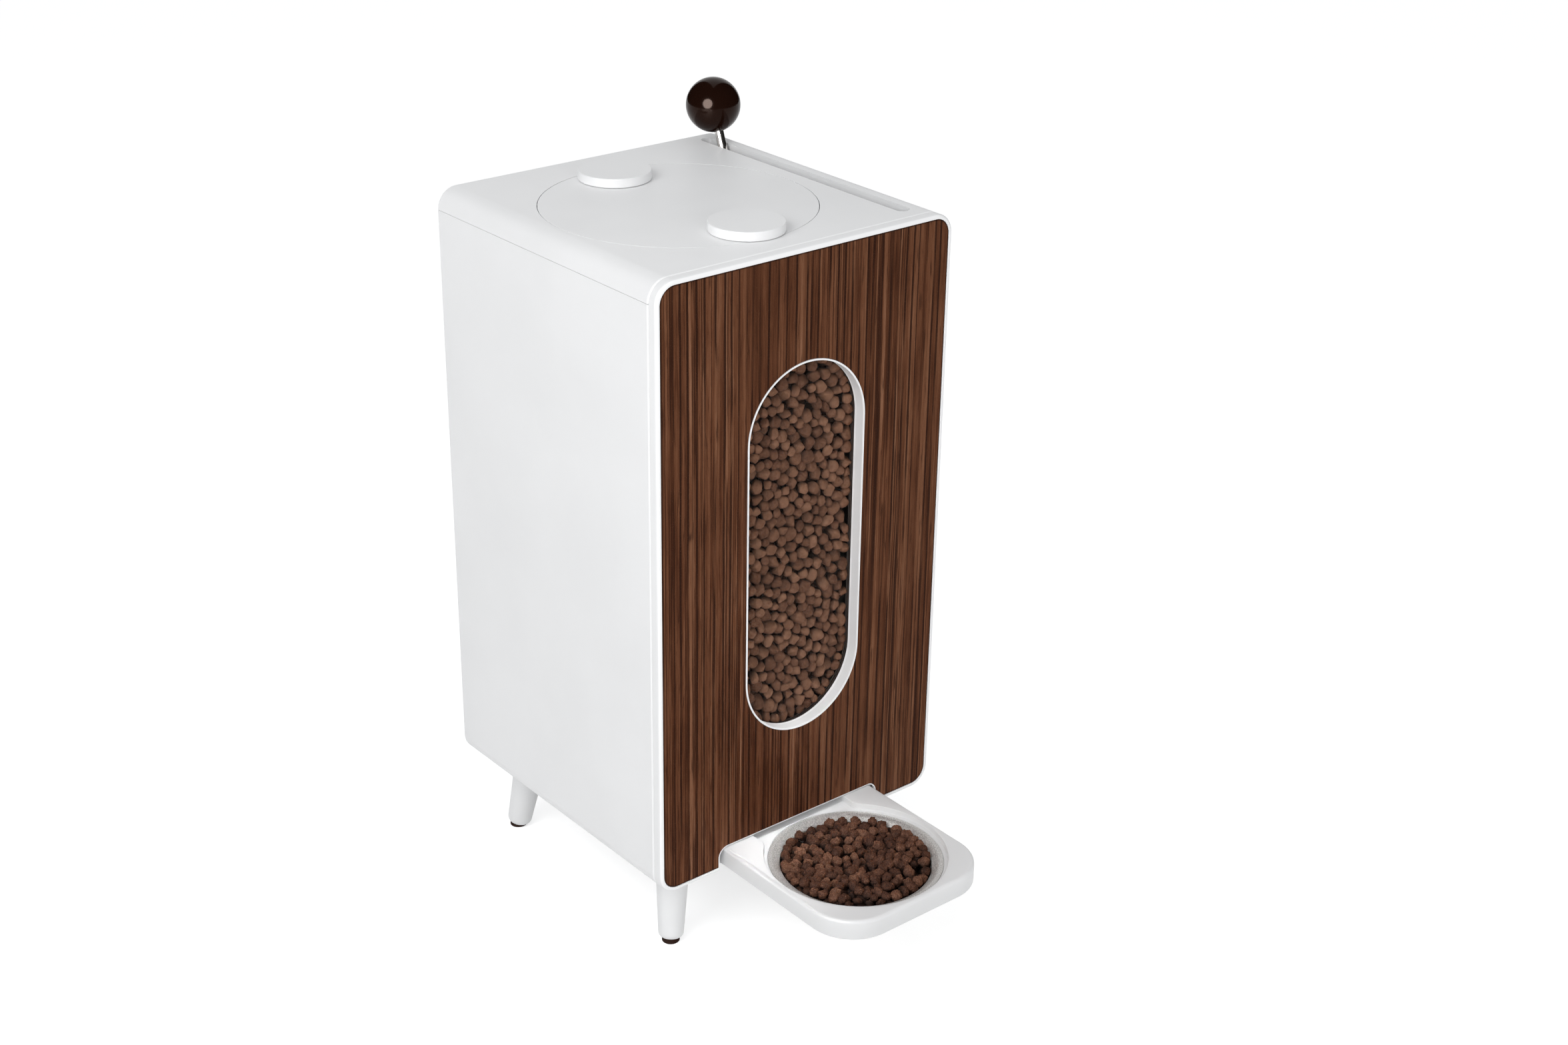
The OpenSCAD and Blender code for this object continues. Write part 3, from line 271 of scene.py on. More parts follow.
def walnut_veneer():
    """Straight-grained walnut: strips in calm and busy bands, dark lines, pores and flecks, and a painted
    shade along its border.
    """
    f = blank("walnut_veneer")
    place = f.place()
    x, along = f.part(place, "X"), f.part(place, "Z")
    wander = f.cloud(f.stretch(place, (26.0, 0.0, 3.0))) - 0.5
    shiver = f.cloud(f.stretch(place, (120.0, 0.0, 22.0))) - 0.5
    ragged = f.cloud(f.stretch(place, (420.0, 0.0, 150.0))) - 0.5
    across = x + 4.5 * MM * wander + 0.7 * MM * shiver + 0.5 * MM * ragged

    def grain(per_metre, run, start, detail=2.0, rough=0.5):
        """Noise drawn out along the grain: lumps to the metre across it and along it."""
        sockets = {"X": across * per_metre, "Y": start, "Z": along * run}
        return f.cloud(f.node("ShaderNodeCombineXYZ", {}, sockets), 1.0, detail, rough)

    def strips(per_metre, start):
        """Two random values of each strip, and the distance to its edge in strip widths."""
        kind = "ShaderNodeTexVoronoi"
        sockets = {"W": across * per_metre + start, "Scale": 1.0}
        colour = f.node(kind, {"voronoi_dimensions": "1D"}, sockets, out="Color")
        edge = {"voronoi_dimensions": "1D", "feature": "DISTANCE_TO_EDGE"}
        red = f.node("ShaderNodeSeparateColor", {}, {0: colour}, out="Red")
        green = f.node("ShaderNodeSeparateColor", {}, {0: colour}, out="Green")
        return red, green, f.node(kind, edge, sockets, out="Distance")

    wide, wide_mark, wide_edge = strips(112.0, 3.7)
    thin, thin_mark, thin_edge = strips(290.0, 40.3)
    streak = grain(430.0, 7.0, 7.7, 4.0, 0.7)
    hair = grain(1600.0, 24.0, 12.3, 3.0, 0.7)
    cloudy = grain(60.0, 10.0, 3.1, 3.0, 0.6)
    busy = grain(24.0, 2.2, 90.3, 1.0).rise(0.4, 0.62)
    lively = (0.42 + 0.6 * busy) * (0.44 * thin + 1.2 * streak - 0.82)
    tone = f.ramp(0.22 * wide + lively + 0.6 * hair + 0.7 * cloudy - 0.26, WALNUT_TONES)

    lines_run = grain(70.0, 7.0, 21.0).rise(0.36, 0.52)
    lines = (1.0 - wide_edge.rise(0.09, 0.16)) * wide_mark.rise(0.1, 0.2) * lines_run
    fine_run = grain(110.0, 9.0, 52.0).rise(0.34, 0.5) * (0.2 + 0.8 * busy)
    fine = (1.0 - thin_edge.rise(0.16, 0.28)) * thin_mark.rise(0.25, 0.4) * fine_run
    pores = grain(2400.0, 90.0, 63.0, 1.0).rise(0.62, 0.74)
    dots = f.cloud(f.stretch(place, (1500.0, 0.0, 900.0)), 1.0, 1.0)
    dashes = grain(380.0, 26.0, 33.0).rise(0.58, 0.7)
    fleck = grain(48.0, 14.0, 71.4, 3.0, 0.6).rise(0.72, 0.8)
    # Painted shade: a thin dark band just inside the panel's outline, standing for the shadow in the gap to
    # the white rim.
    inset = f.inset(place, *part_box("walnut_panel"), WALNUT_CORNER)
    edge_shade = 1.0 - inset.rise(0.3 * MM, 1.8 * MM)
    layers = (
        (DARK_LINE, 0.92 * lines), (FINE_LINE, 0.85 * fine), (DARK_DASH, 0.6 * dashes),
        (OPEN_PORE, 0.5 * pores), (PALE_DOT, 0.32 * dots.rise(0.63, 0.75)),
        (DARK_DOT, 0.35 * dots.rise(0.37, 0.26)), (DARK_FLECK, 0.75 * fleck), (PAINTED_EDGE_SHADE, 0.8 * edge_shade),
    )
    for colour, share in layers:
        tone = f.blend(tone, colour, share)
    rough = 0.5 + 0.12 * hair + 0.1 * pores
    height = 0.6 * hair - 0.7 * pores - 0.35 * lines + 0.3 * streak
    normal = f.bump(height, 0.35, 0.25 * MM)
    shader = f.principled(Base_Color=tone, Roughness=rough, Normal=normal, Specular_IOR_Level=0.04)
    return f.surface(shader)


def clear_pane():
    """Clear sheet: a faint mirror over what is behind it."""
    f = blank("clear_pane")
    smear = f.cloud(f.stretch(f.place(), (14.0, 14.0, 5.0)), 1.0, 3.0)
    rough = 0.02 + 0.05 * smear.rise(0.45, 0.75)
    mirror = f.node("ShaderNodeBsdfGlossy", {}, {"Color": (1.0, 1.0, 1.0), "Roughness": rough})
    through = f.node("ShaderNodeBsdfTransparent", {}, {"Color": (0.97, 0.98, 0.975)})
    front = 1.0 - f.node("ShaderNodeNewGeometry", out="Backfacing")
    share = f.node("ShaderNodeFresnel", {}, {"IOR": 1.12}) * front
    return f.surface(f.node("ShaderNodeMixShader", {}, {0: share, 1: through, 2: mirror}))


def kibble_finish(name, crumb, dark, mid, light):
    """Baked kibble: pieces of their own tone, with crumbs, painted shade in their pits, dust, and painted
    shade deep in the heap.
    """
    f = blank(name)
    place = f.place()
    own = f.node("ShaderNodeAttribute", {"attribute_name": "tone"}, out="Fac")
    sunk = f.node("ShaderNodeAttribute", {"attribute_name": "sunk"}, out="Fac")
    patch = f.cloud(place, 160.0, 3.0, 0.6)
    grit = f.cloud(place, 900.0, 3.0, 0.65)
    stops = ((0.2, dark), (0.5, mid), (0.82, light))
    tone = f.ramp(0.32 * own + 0.46 * patch + 0.8 * grit - 0.29, stops)
    # Painted shade in the pits: where the crumb bump is lowest, the colour is painted darker.
    pit_shade = grit.rise(0.36, 0.28)
    dust = f.cloud(place, 1700.0, 1.0).rise(0.68, 0.76)
    tone = f.blend(tone, toned(dark, 0.35), 0.7 * crumb * pit_shade)
    tone = f.blend(tone, toned(light, 1.4), 0.5 * dust)
    # Painted shade deep in the heap, in the gaps between the pieces.
    tone = f.blend(tone, toned(dark, 0.3), 0.85 * sunk)
    rough = 0.7 + 0.15 * grit
    normal = f.bump(0.6 * grit + 0.4 * patch, 0.25 + 0.5 * crumb, 0.6 * MM)
    shader = f.principled(Base_Color=tone, Roughness=rough, Normal=normal, Specular_IOR_Level=0.1)
    return f.surface(shader)


def bowl_steel():
    """Satin pressed steel, brushed in rings round the bowl's middle and speckled."""
    f = blank("bowl_steel")
    place = f.place()
    low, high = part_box("bowl")
    middle = (low + high) / 2
    offset = f.stretch(place, (1.0, 1.0, 0.0), (-middle.x, -middle.y, 0.0))
    radius = f.node("ShaderNodeVectorMath", {"operation": "LENGTH"}, {0: offset}, out="Value")
    rings = f.cloud(f.node("ShaderNodeCombineXYZ", {}, {"X": radius * 1400.0}), 1.0, 3.0, 0.6)
    speckle = f.cloud(place, 950.0, 2.0, 0.7)
    share = 0.3 * rings + 0.7 * speckle.rise(0.3, 0.7)
    tone = f.blend((0.36, 0.35, 0.335), (0.95, 0.94, 0.92), share)
    rough = 0.32 + 0.2 * speckle + 0.08 * rings
    normal = f.bump(0.5 * rings + 0.5 * speckle, 0.25, 0.12 * MM)
    return f.surface(f.principled(Base_Color=tone, Metallic=0.55, Roughness=rough, Normal=normal))


def bright_metal(name, colour, roughness, brush, wear):
    """Machined or plated metal with fine brushing and a soft change of tone."""
    f = blank(name)
    place = f.place()
    brushing = f.cloud(f.stretch(place, brush), 1.0, 3.0, 0.6)
    patch = f.cloud(place, 70.0, 3.0)
    tone = f.blend(toned(colour, wear), colour, 0.5 * brushing + 0.5 * patch)
    rough = roughness + 0.5 * roughness * (brushing - 0.5) + 0.06 * patch
    normal = f.bump(brushing, 0.06, 0.05 * MM)
    return f.surface(f.principled(Base_Color=tone, Metallic=1.0, Roughness=rough, Normal=normal))


def moulded(name, colour, roughness, pebble, spread=0.12, shine=0.5):
    """Coloured moulding or rubber with a fine surface and a soft change of tone."""
    f = blank(name)
    place = f.place()
    patch = f.cloud(place, 24.0, 3.0)
    texture = f.cloud(place, 1300.0, 2.0, 0.6)
    share = 0.6 * patch + 0.4 * texture
    tone = f.blend(toned(colour, 1 - spread), toned(colour, 1 + spread), share)
    rough = roughness + 0.12 * (texture - 0.5)
    normal = f.bump(texture, 0.3 * pebble, 0.15 * MM)
    shader = f.principled(Base_Color=tone, Roughness=rough, Normal=normal, Specular_IOR_Level=shine)
    return f.surface(shader)


def lever_ball_gloss():
    """Deep near-black brown gloss with a trace of dust."""
    f = blank("lever_ball_gloss")
    place = f.place()
    depth = f.cloud(place, 45.0, 3.0)
    dust = f.cloud(place, 2600.0, 1.0).rise(0.72, 0.8)
    tone = f.blend((0.009, 0.003, 0.0018), (0.015, 0.0055, 0.0033), depth)
    tone = f.blend(tone, (0.03, 0.018, 0.014), 0.25 * dust)
    rough = 0.1 + 0.05 * depth + 0.2 * dust
    tint = (1.0, 0.76, 0.66)
    return f.surface(f.principled(Base_Color=tone, Roughness=rough, IOR=1.25, Specular_Tint=tint))


WHITE = (0.86, 0.862, 0.866)
TRAY_WHITE = (0.81, 0.812, 0.816)
# Bands behind the front face, in mm, painted paler as a painted highlight: the front rim, and the seam's
# rounded edge.
FRONT_HIGHLIGHT_BANDS = ((-0.1, 1.6), (10.1, 12.6))
case_white = white_moulding("case_white", WHITE, roughness=0.42, pebble=1.0, highlight_bands=FRONT_HIGHLIGHT_BANDS)
lid_white = white_moulding("lid_white", WHITE, roughness=0.46, pebble=1.4)
tray_white = white_moulding("tray_white", TRAY_WHITE, roughness=0.36, pebble=0.6, glow=0.5)
leg_white = white_moulding("leg_white", WHITE, roughness=0.38, pebble=0.7)
black_rubber = moulded("black_rubber", (0.02, 0.018, 0.017), roughness=0.75, pebble=1.4, spread=0.2)
seal_rubber = moulded("seal_rubber", (0.42, 0.43, 0.44), roughness=0.7, pebble=1.0)
foot_rubber = moulded("foot_rubber", (0.024, 0.0088, 0.005), roughness=0.9, pebble=1.2, spread=0.25,
                      shine=0.12)
smoke_plastic = moulded("smoke_plastic", (0.095, 0.062, 0.05), roughness=0.45, pebble=0.6)
gasket_brown = moulded("gasket_brown", (0.085, 0.045, 0.032), roughness=0.6, pebble=0.8)
gear_acetal = moulded("gear_acetal", (0.72, 0.7, 0.63), roughness=0.4, pebble=0.4, spread=0.05)
zinc = bright_metal("zinc", (0.62, 0.63, 0.65), roughness=0.34, brush=(400.0, 400.0, 60.0), wear=0.72)
spring_steel = bright_metal("spring_steel", (0.2, 0.2, 0.21), roughness=0.38,
                            brush=(500.0, 500.0, 500.0), wear=0.6)
bush_bronze = bright_metal("bush_bronze", (0.55, 0.38, 0.2), roughness=0.42,
                           brush=(300.0, 500.0, 500.0), wear=0.7)
rod_bright = bright_metal("rod_bright", (0.86, 0.83, 0.8), roughness=0.2,
                          brush=(900.0, 60.0, 25.0), wear=0.9)
window_food = kibble_finish("window_food", crumb=0.5, dark=(0.074, 0.0285, 0.0157),
                            mid=(0.196, 0.0865, 0.05), light=(0.335, 0.166, 0.102))
bowl_food = kibble_finish("bowl_food", crumb=1.0, dark=(0.027, 0.0095, 0.005),
                          mid=(0.092, 0.036, 0.0195), light=(0.24, 0.112, 0.067))

SLOT_FINISH = {
    "white_plastic": case_white, "walnut_veneer": walnut_veneer(), "clear_pane": clear_pane(),
    "dark_rubber": black_rubber, "seal_rubber": seal_rubber, "foot_rubber": foot_rubber,
    "hopper_plastic": smoke_plastic, "gear_plastic": gear_acetal, "plated_steel": zinc,
    "dark_steel": spring_steel, "bush_bronze": bush_bronze, "polished_rod": rod_bright,
    "ball_gloss": lever_ball_gloss(), "bowl_steel": bowl_steel(),
}
NODE_FINISH = {"window_gasket": gasket_brown, "bowl_tray": tray_white, "lid_plate": lid_white}

for row in frame["record"]["subparts"]:
    materials = nodes[row["node"]].data.materials
    materials.clear()
    materials.append(NODE_FINISH.get(row["node"], SLOT_FINISH[row["material_slot"]]))


# Softened edges of the solids

WELD_GAP = 0.004 * MM
FLAT_WITHIN = math.radians(0.4)
SHARP_FROM = math.radians(32)
SEAM_NODES = ("side_shell", "top_cover", "front_bezel")
SEAM_FROM, SEAM_TO, SEAM_ROUND = 9.9, 10.1, 1.6
SOFT_EDGES = {
    "side_shell": 0.4, "top_cover": 0.4, "slot_liner": 0.2, "front_bezel": 0.4, "walnut_panel": 0.35,
    "window_frame": 0.35, "window_pane": 0.3, "rear_panel": 0.5, "lid_plate": 0.4, "bowl_tray": 0.9,
    "bowl": 0.25, "lever_ball": 0.3, "lever_rod": 0.2,
}
SOFT_EDGES.update({"foot_pad_" + place: 0.6 for place in LEG_PLACES})


def bevel(solid, name, width, limit):
    """A rounded edge of three facets."""
    edge = solid.modifiers.new(name, "BEVEL")
    edge.width = width * MM
    edge.segments = 3
    edge.use_clamp_overlap = True
    edge.limit_method = limit
    return edge


def soften_seam(solid):
    """Rounds the edges at the seam behind the front frame, which are wider than the others."""
    at = np.empty(3 * len(solid.data.vertices))
    solid.data.vertices.foreach_get("co", at)
    depth = (at[1::3] - FRONT_FACE) / MM
    chosen = np.nonzero((depth > SEAM_FROM) & (depth < SEAM_TO))[0]
    solid.vertex_groups.new(name="seam").add(chosen.tolist(), 1.0, "REPLACE")
    bevel(solid, "seam", SEAM_ROUND, "VGROUP").vertex_group = "seam"


def soften(node):
    """Rounds a solid's sharp edges as the mould or the polish does, and smooths its shading."""
    solid = nodes[node]
    faces = solid.data.polygons
    faces.foreach_set("use_smooth", np.ones(len(faces), bool))
    solid.modifiers.new("weld", "WELD").merge_threshold = WELD_GAP
    flat = solid.modifiers.new("flat", "DECIMATE")
    flat.decimate_type = "DISSOLVE"
    flat.angle_limit = FLAT_WITHIN
    if node in SEAM_NODES:
        soften_seam(solid)
    if node in SOFT_EDGES:
        bevel(solid, "edge", SOFT_EDGES[node], "ANGLE").angle_limit = SHARP_FROM
    solid.modifiers.new("normals", "WEIGHTED_NORMAL").keep_sharp = True


for node in nodes:
    soften(node)


# Turned pieces

TURNED_COLUMNS = 128
KNOB_RISE, KNOB_THICK, KNOB_FOOT, KNOB_EDGE = 0.5, 8.6, 31.0, 0.9
LEG_H, LEG_SPREAD, LEG_TOP_R, LEG_FOOT_R, LEG_ROUND = 82.0, 11.5, 16.5, 12.25, 6.0
LEG_X, LEG_FRONT_Y, LEG_REAR_Y, LEG_RINGS = 116.0, 47.0, 283.0, 5
PAD_SHOWN = 3.0


def quarter_round(reach, height, radius, start, steps=6):
    """Points of a rounded edge: a quarter circle round a point of the outline."""
    angles = [math.radians(start + 90 * i / steps) for i in range(steps + 1)]
    return [(reach + radius * math.cos(a), height + radius * math.sin(a)) for a in angles]


def turned(name, outline, seat, finish, body, node):
    """A closed turned piece that stands for a node.

    Seat puts a point of the piece's own axes, in mm, on the part."""
    angles = [2 * math.pi * i / TURNED_COLUMNS for i in range(TURNED_COLUMNS)]
    shape = bmesh.new()
    rings = []
    for reach, height in outline:
        ring = [Vector((reach * math.cos(a), reach * math.sin(a), height)) for a in angles]
        rings.append([shape.verts.new(seat(point)) for point in ring])
    for lower, upper in zip(rings, rings[1:]):
        for i in range(TURNED_COLUMNS):
            j = (i + 1) % TURNED_COLUMNS
            shape.faces.new((lower[i], lower[j], upper[j], upper[i]))
    shape.faces.new(rings[-1])
    shape.faces.new(list(reversed(rings[0])))
    for face in shape.faces:
        face.smooth = True
    mesh = bpy.data.meshes.new(name)
    shape.to_mesh(mesh)
    shape.free()
    piece = add_piece(name, mesh, finish, body)
    piece.modifiers.new("normals", "WEIGHTED_NORMAL")
    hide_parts(node)


def knob_disc(place):
    """A disc with softly rounded edges, on a low foot that leaves a fine shadow over the lid."""
    node = "lid_knob_" + place
    low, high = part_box(node)
    middle = (low + high) / 2
    middle.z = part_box("lid_plate")[1].z
    flat = (high.x - low.x) / 2 / MM - KNOB_EDGE
    outline = [(KNOB_FOOT, 0.0), (KNOB_FOOT, KNOB_RISE)]
    outline += quarter_round(flat, KNOB_RISE + KNOB_EDGE, KNOB_EDGE, start=-90)
    outline += quarter_round(flat, KNOB_RISE + KNOB_THICK - KNOB_EDGE, KNOB_EDGE, start=0)
    turned("knob_disc_" + place, outline, lambda point: middle + point * MM, lid_white, "lid", node)


def turned_leg(place, side, end):
    """A tapered splayed leg, cut flat under the cabinet; a little of its pad shows below its round end."""
    tilt = math.atan(math.sqrt(2) * LEG_SPREAD / LEG_H)
    foot = PAD_SHOWN - LEG_H / math.cos(tilt)
    turn = Quaternion((0, 0, 1), math.atan2(end, side)) @ Quaternion((0, 1, 0), -tilt)
    top = cab(side * LEG_X, LEG_FRONT_Y if end < 0 else LEG_REAR_Y, 0)
    outline = quarter_round(LEG_FOOT_R - LEG_ROUND, foot + LEG_ROUND, LEG_ROUND, start=-90, steps=9)
    for i in range(1, LEG_RINGS + 1):
        share = i / LEG_RINGS
        reach = LEG_FOOT_R + share * (LEG_TOP_R - LEG_FOOT_R)
        outline.append((reach, (1 - share) * (foot + LEG_ROUND)))
    outline.append((LEG_TOP_R, LEG_ROUND))

    def seat(point):
        at = top + turn @ point * MM
        at.z = min(at.z, UNDERSIDE)
        return at

    turned("turned_leg_" + place, outline, seat, leg_white, "cabinet", "leg_" + place)


for place in ("front", "rear"):
    knob_disc(place)
for place, (side, end) in LEG_PLACES.items():
    turned_leg(place, side, end)


# Kibble

PEBBLE_FLATS, PEBBLE_PRESS, PEBBLE_SWELL = 9, 0.92, 0.12
NUGGET_LUMPS = ((1.3, 0.3), (2.9, 0.19), (6.5, 0.1))
NEAR_GAP, NEAR_STEPS, PUSH = 2.0, 8, 0.45
CLEARANCE = 0.3


def lumps(points, scale, shift):
    """A soft noise at each point."""
    return np.array([noise.noise(Vector(scale * p + shift)) for p in points])


def pebble_shape(draw, points):
    """A baked pebble: a ball with softly pressed flats and one flatter way."""
    shape = points.copy()
    for _ in range(PEBBLE_FLATS):
        way = draw.normal(size=3)
        way /= np.linalg.norm(way)
        over = np.maximum(shape @ way - draw.uniform(0.56, 0.88), 0.0)
        shape -= PEBBLE_PRESS * over[:, None] * way
    shift = draw.uniform(0, 50, 3)
    shape *= 1.0 + PEBBLE_SWELL * lumps(points, 1.6, shift)[:, None]
    return 1.12 * shape * draw.uniform(0.78, 1.14, 3)


def nugget_shape(draw, points):
    """A crumbly nugget: a ball with lumps on lumps."""
    shift = draw.uniform(0, 50, 3)
    size = np.ones(len(points))
    for scale, share in NUGGET_LUMPS:
        size += share * lumps(points, scale, shift)
    return 1.04 * points * size[:, None] * draw.uniform(0.82, 1.14, 3)


def some_shapes(draw, make, count, detail):
    """Shapes made from one ball of triangles, and the triangles that they share."""
    cage = bmesh.new()
    bmesh.ops.create_icosphere(cage, subdivisions=detail, radius=1.0)
    points = np.array([v.co for v in cage.verts])
    faces = np.array([[v.index for v in face.verts] for face in cage.faces])
    cage.free()
    return [make(draw, points) for _ in range(count)], faces


def settle(centres, radii, keep_in, pull, rounds):
    """Pushes balls apart until they lie against each other, pulled one way inside their vessel."""
    centres = keep_in(centres, radii)
    for step in range(rounds):
        if step % NEAR_STEPS == 0:
            gap = np.linalg.norm(centres[:, None] - centres[None], axis=2)
            first, second = np.nonzero(np.triu(gap < radii[:, None] + radii + NEAR_GAP, 1))
        centres = centres + np.array(pull) * (1.0 - step / rounds)
        apart = centres[first] - centres[second]
        length = np.maximum(np.linalg.norm(apart, axis=1), TINY)
        push = PUSH * np.maximum(radii[first] + radii[second] - length, 0.0) / length
        np.add.at(centres, first, push[:, None] * apart)
        np.subtract.at(centres, second, push[:, None] * apart)
        centres = keep_in(centres, radii)
    return centres


def random_turn(draw):
    turn = draw.normal(size=4)
    return np.array(Quaternion(turn / np.linalg.norm(turn)).to_matrix())


def point_values(mesh, name, values):
    """A number at each point of a mesh, which its finish reads."""
    row = mesh.attributes.new(name, "FLOAT", "POINT")
    row.data.foreach_set("value", values.astype(np.float32))


def heap(name, draw, shapes, faces, centres, radii, limit=None, sunk=None):
    """One mesh of many pieces, each a shape turned and sized at its centre, in mm of the cabinet.

    Limit keeps its points inside a vessel. Heap shade says how deep in the heap each point lies, from 0 to
    1, which sets how much painted shade it gets."""
    points = []
    for centre, radius in zip(centres, radii):
        shape = shapes[draw.integers(len(shapes))]
        points.append(centre + radius * shape @ random_turn(draw).T)
    points = np.concatenate(points)
    if limit:
        points = limit(points)
    # How much painted shade each point gets, by its depth in the heap.
    depth = sunk(points) if sunk else np.zeros(len(points))
    points = points * MM + np.array(cab(0, 0, 0))
    per_piece = len(shapes[0])
    triangles = (faces[None] + per_piece * np.arange(len(centres))[:, None, None]).reshape(-1, 3)
    count = len(triangles)
    mesh = bpy.data.meshes.new(name)
    mesh.vertices.add(len(points))
    mesh.vertices.foreach_set("co", points.astype(np.float32).ravel())
    mesh.loops.add(3 * count)
    mesh.loops.foreach_set("vertex_index", triangles.astype(np.int32).ravel())
    mesh.polygons.add(count)
    mesh.polygons.foreach_set("loop_start", np.arange(0, 3 * count, 3, dtype=np.int32))
    mesh.polygons.foreach_set("use_smooth", np.ones(count, bool))
    point_values(mesh, "tone", np.repeat(draw.random(len(centres)), per_piece))
    point_values(mesh, "sunk", depth)
    mesh.update()
    mesh.validate()
    return mesh


def fill_window():
    """Kibble pressed against the back of the pane; what lies deep is made of fewer faces."""
    draw = np.random.default_rng(seed=11)
    half, low, high = 67.0, 188.5, 419.5
    front, back, deep_from, count = 15.8, 41.8, 26.8, 950
    radii = draw.uniform(4.4, 7.1, count)

    def in_opening(points, room):
        """Moves points into the oval opening, at most so far from its middle line."""
        middle_z = np.clip(points[:, 2], low, high)
        out = np.stack([points[:, 0], points[:, 2] - middle_z], 1)
        shrink = np.minimum(1.0, room / np.maximum(np.linalg.norm(out, axis=1), TINY))
        points[:, 0] = out[:, 0] * shrink
        points[:, 2] = middle_z + out[:, 1] * shrink

    def keep_in(centres, radii):
        in_opening(centres, half - 0.4 - 0.5 * radii)
        centres[:, 1] = np.clip(centres[:, 1], front + 0.97 * radii, back)
        return centres

    def behind_pane(points):
        in_opening(points, half - CLEARANCE)
        points[:, 1] = np.maximum(points[:, 1], front)
        return points

    # Painted shade by depth behind the pane, for the gaps between pieces.
    def sunk(points):
        return np.clip((points[:, 1] - front - 2.2) / 6.5, 0.0, 1.0)

    across, behind = draw.uniform(-half, half, count), draw.uniform(front, back, count)
    centres = np.stack([across, behind, draw.uniform(low - half, high + half, count)], 1)
    centres = settle(centres, radii, keep_in, pull=(0.0, -0.35, 0.0), rounds=120)
    deep = centres[:, 1] > deep_from
    for name, chosen, detail in (("window_kibble", ~deep, 3), ("window_kibble_deep", deep, 2)):
        shapes, faces = some_shapes(draw, pebble_shape, count=14, detail=detail)
        mesh = heap(name, draw, shapes, faces, centres[chosen], radii[chosen], behind_pane, sunk)
        add_piece(name, mesh, window_food, "cabinet")


def fill_bin():
    """The top of the kibble in the bin, heaped under the mouth where it was poured in."""
    draw = np.random.default_rng(seed=23)
    shapes, faces = some_shapes(draw, pebble_shape, count=10, detail=2)
    left, right, front, back, count = -154.0, 112.0, 22.0, 304.0, 620
    mouth, top, thick, slope = np.array((-17.0, 164.0)), 512.0, 12.0, 0.14
    radii = draw.uniform(4.6, 7.1, count)

    def keep_in(centres, radii):
        centres[:, 0] = np.clip(centres[:, 0], left + radii, right - radii)
        centres[:, 1] = np.clip(centres[:, 1], front + radii, back - radii)
        bed = top - slope * np.linalg.norm(centres[:, :2] - mouth, axis=1)
        centres[:, 2] = np.maximum(centres[:, 2], bed)
        return centres

    across, behind = draw.uniform(left, right, count), draw.uniform(front, back, count)
    centres = np.stack([across, behind, draw.uniform(top, top + thick, count)], 1)
    centres = settle(centres, radii, keep_in, pull=(0.0, 0.0, -0.3), rounds=90)
    mesh = heap("bin_kibble", draw, shapes, faces, centres, radii)
    add_piece("bin_kibble", mesh, window_food, "cabinet")


def fill_bowl():
    """A helping of darker crumbly kibble in the bowl; what lies deep is made of fewer faces."""
    draw = np.random.default_rng(seed=5)
    middle, wall, corner = np.array((0.0, -81.0)), 70.7, 11.0
    floor, deep_below, brim, count = -6.0, 7.0, 20.8, 490
    flat = wall - corner
    radii = draw.uniform(3.9, 5.5, count)

    def keep_in(centres, radii):
        """Keeps balls off the bowl's wall, its floor and the round corner between them."""
        out = centres[:, :2] - middle
        length = np.maximum(np.linalg.norm(out, axis=1), TINY)
        height = np.clip(centres[:, 2], floor + radii, brim - radii)
        over = np.maximum(np.minimum(length, wall - radii) - flat, 0.0)
        drop = np.maximum(floor + corner - height, 0.0)
        shrink = np.minimum(1.0, (corner - radii) / np.maximum(np.hypot(over, drop), TINY))
        reach = np.where(over > 0, flat + over * shrink, length)
        centres[:, :2] = middle + out * (reach / length)[:, None]
        centres[:, 2] = np.where((over > 0) & (drop > 0), floor + corner - drop * shrink, height)
        return centres

    def in_bowl(points):
        return keep_in(points, np.full(len(points), CLEARANCE))

    # Painted shade by depth below the brim, for the gaps between nuggets.
    def sunk(points):
        return np.clip((brim - 4.0 - points[:, 2]) / 6.0, 0.0, 1.0)

    angle, reach = draw.uniform(0, 2 * np.pi, count), wall * np.sqrt(draw.random(count))
    across, behind = reach * np.cos(angle), middle[1] + reach * np.sin(angle)
    centres = np.stack([across, behind, draw.uniform(floor, brim, count)], 1)
    centres = settle(centres, radii, keep_in, pull=(0.0, 0.0, -0.12), rounds=160)
    deep = centres[:, 2] < deep_below
    for name, chosen, detail in (("bowl_kibble", ~deep, 4), ("bowl_kibble_deep", deep, 2)):
        shapes, faces = some_shapes(draw, nugget_shape, count=12, detail=detail)
        mesh = heap(name, draw, shapes, faces, centres[chosen], radii[chosen], in_bowl, sunk)
        add_piece(name, mesh, bowl_food, "bowl")


fill_window()
fill_bin()
fill_bowl()


# Studio

CAMERA_AT = cab(-1210.16, -1412.19, 1202.22)
CAMERA_AIM = cab(70.12, 114.24, 269.01)
CAMERA_ROLL = math.radians(0.95)
CAMERA_LENS, CAMERA_SENSOR, CAMERA_REACH = 52.722, 36.0, 100.0
PURE_WHITE = (1.0, 1.0, 1.0)
AMBIENT, AMBIENT_TINT = 0.54, (0.98, 0.99, 1.0)
FLOOR_HALF, FLOOR_GLOW = 20.0, 0.56
CLOTH_RADIUS, CLOTH_COLUMNS, CLOTH_ROWS = 4.0, 24, 8
CLOTH_MIDDLE, CLOTH_HALF, CLOTH_LOW = -40.6, 156, 4
CABINET_MIDDLE = cab(0, 120, 330)
TRAY_BACK = cab(-30, -40, 20)


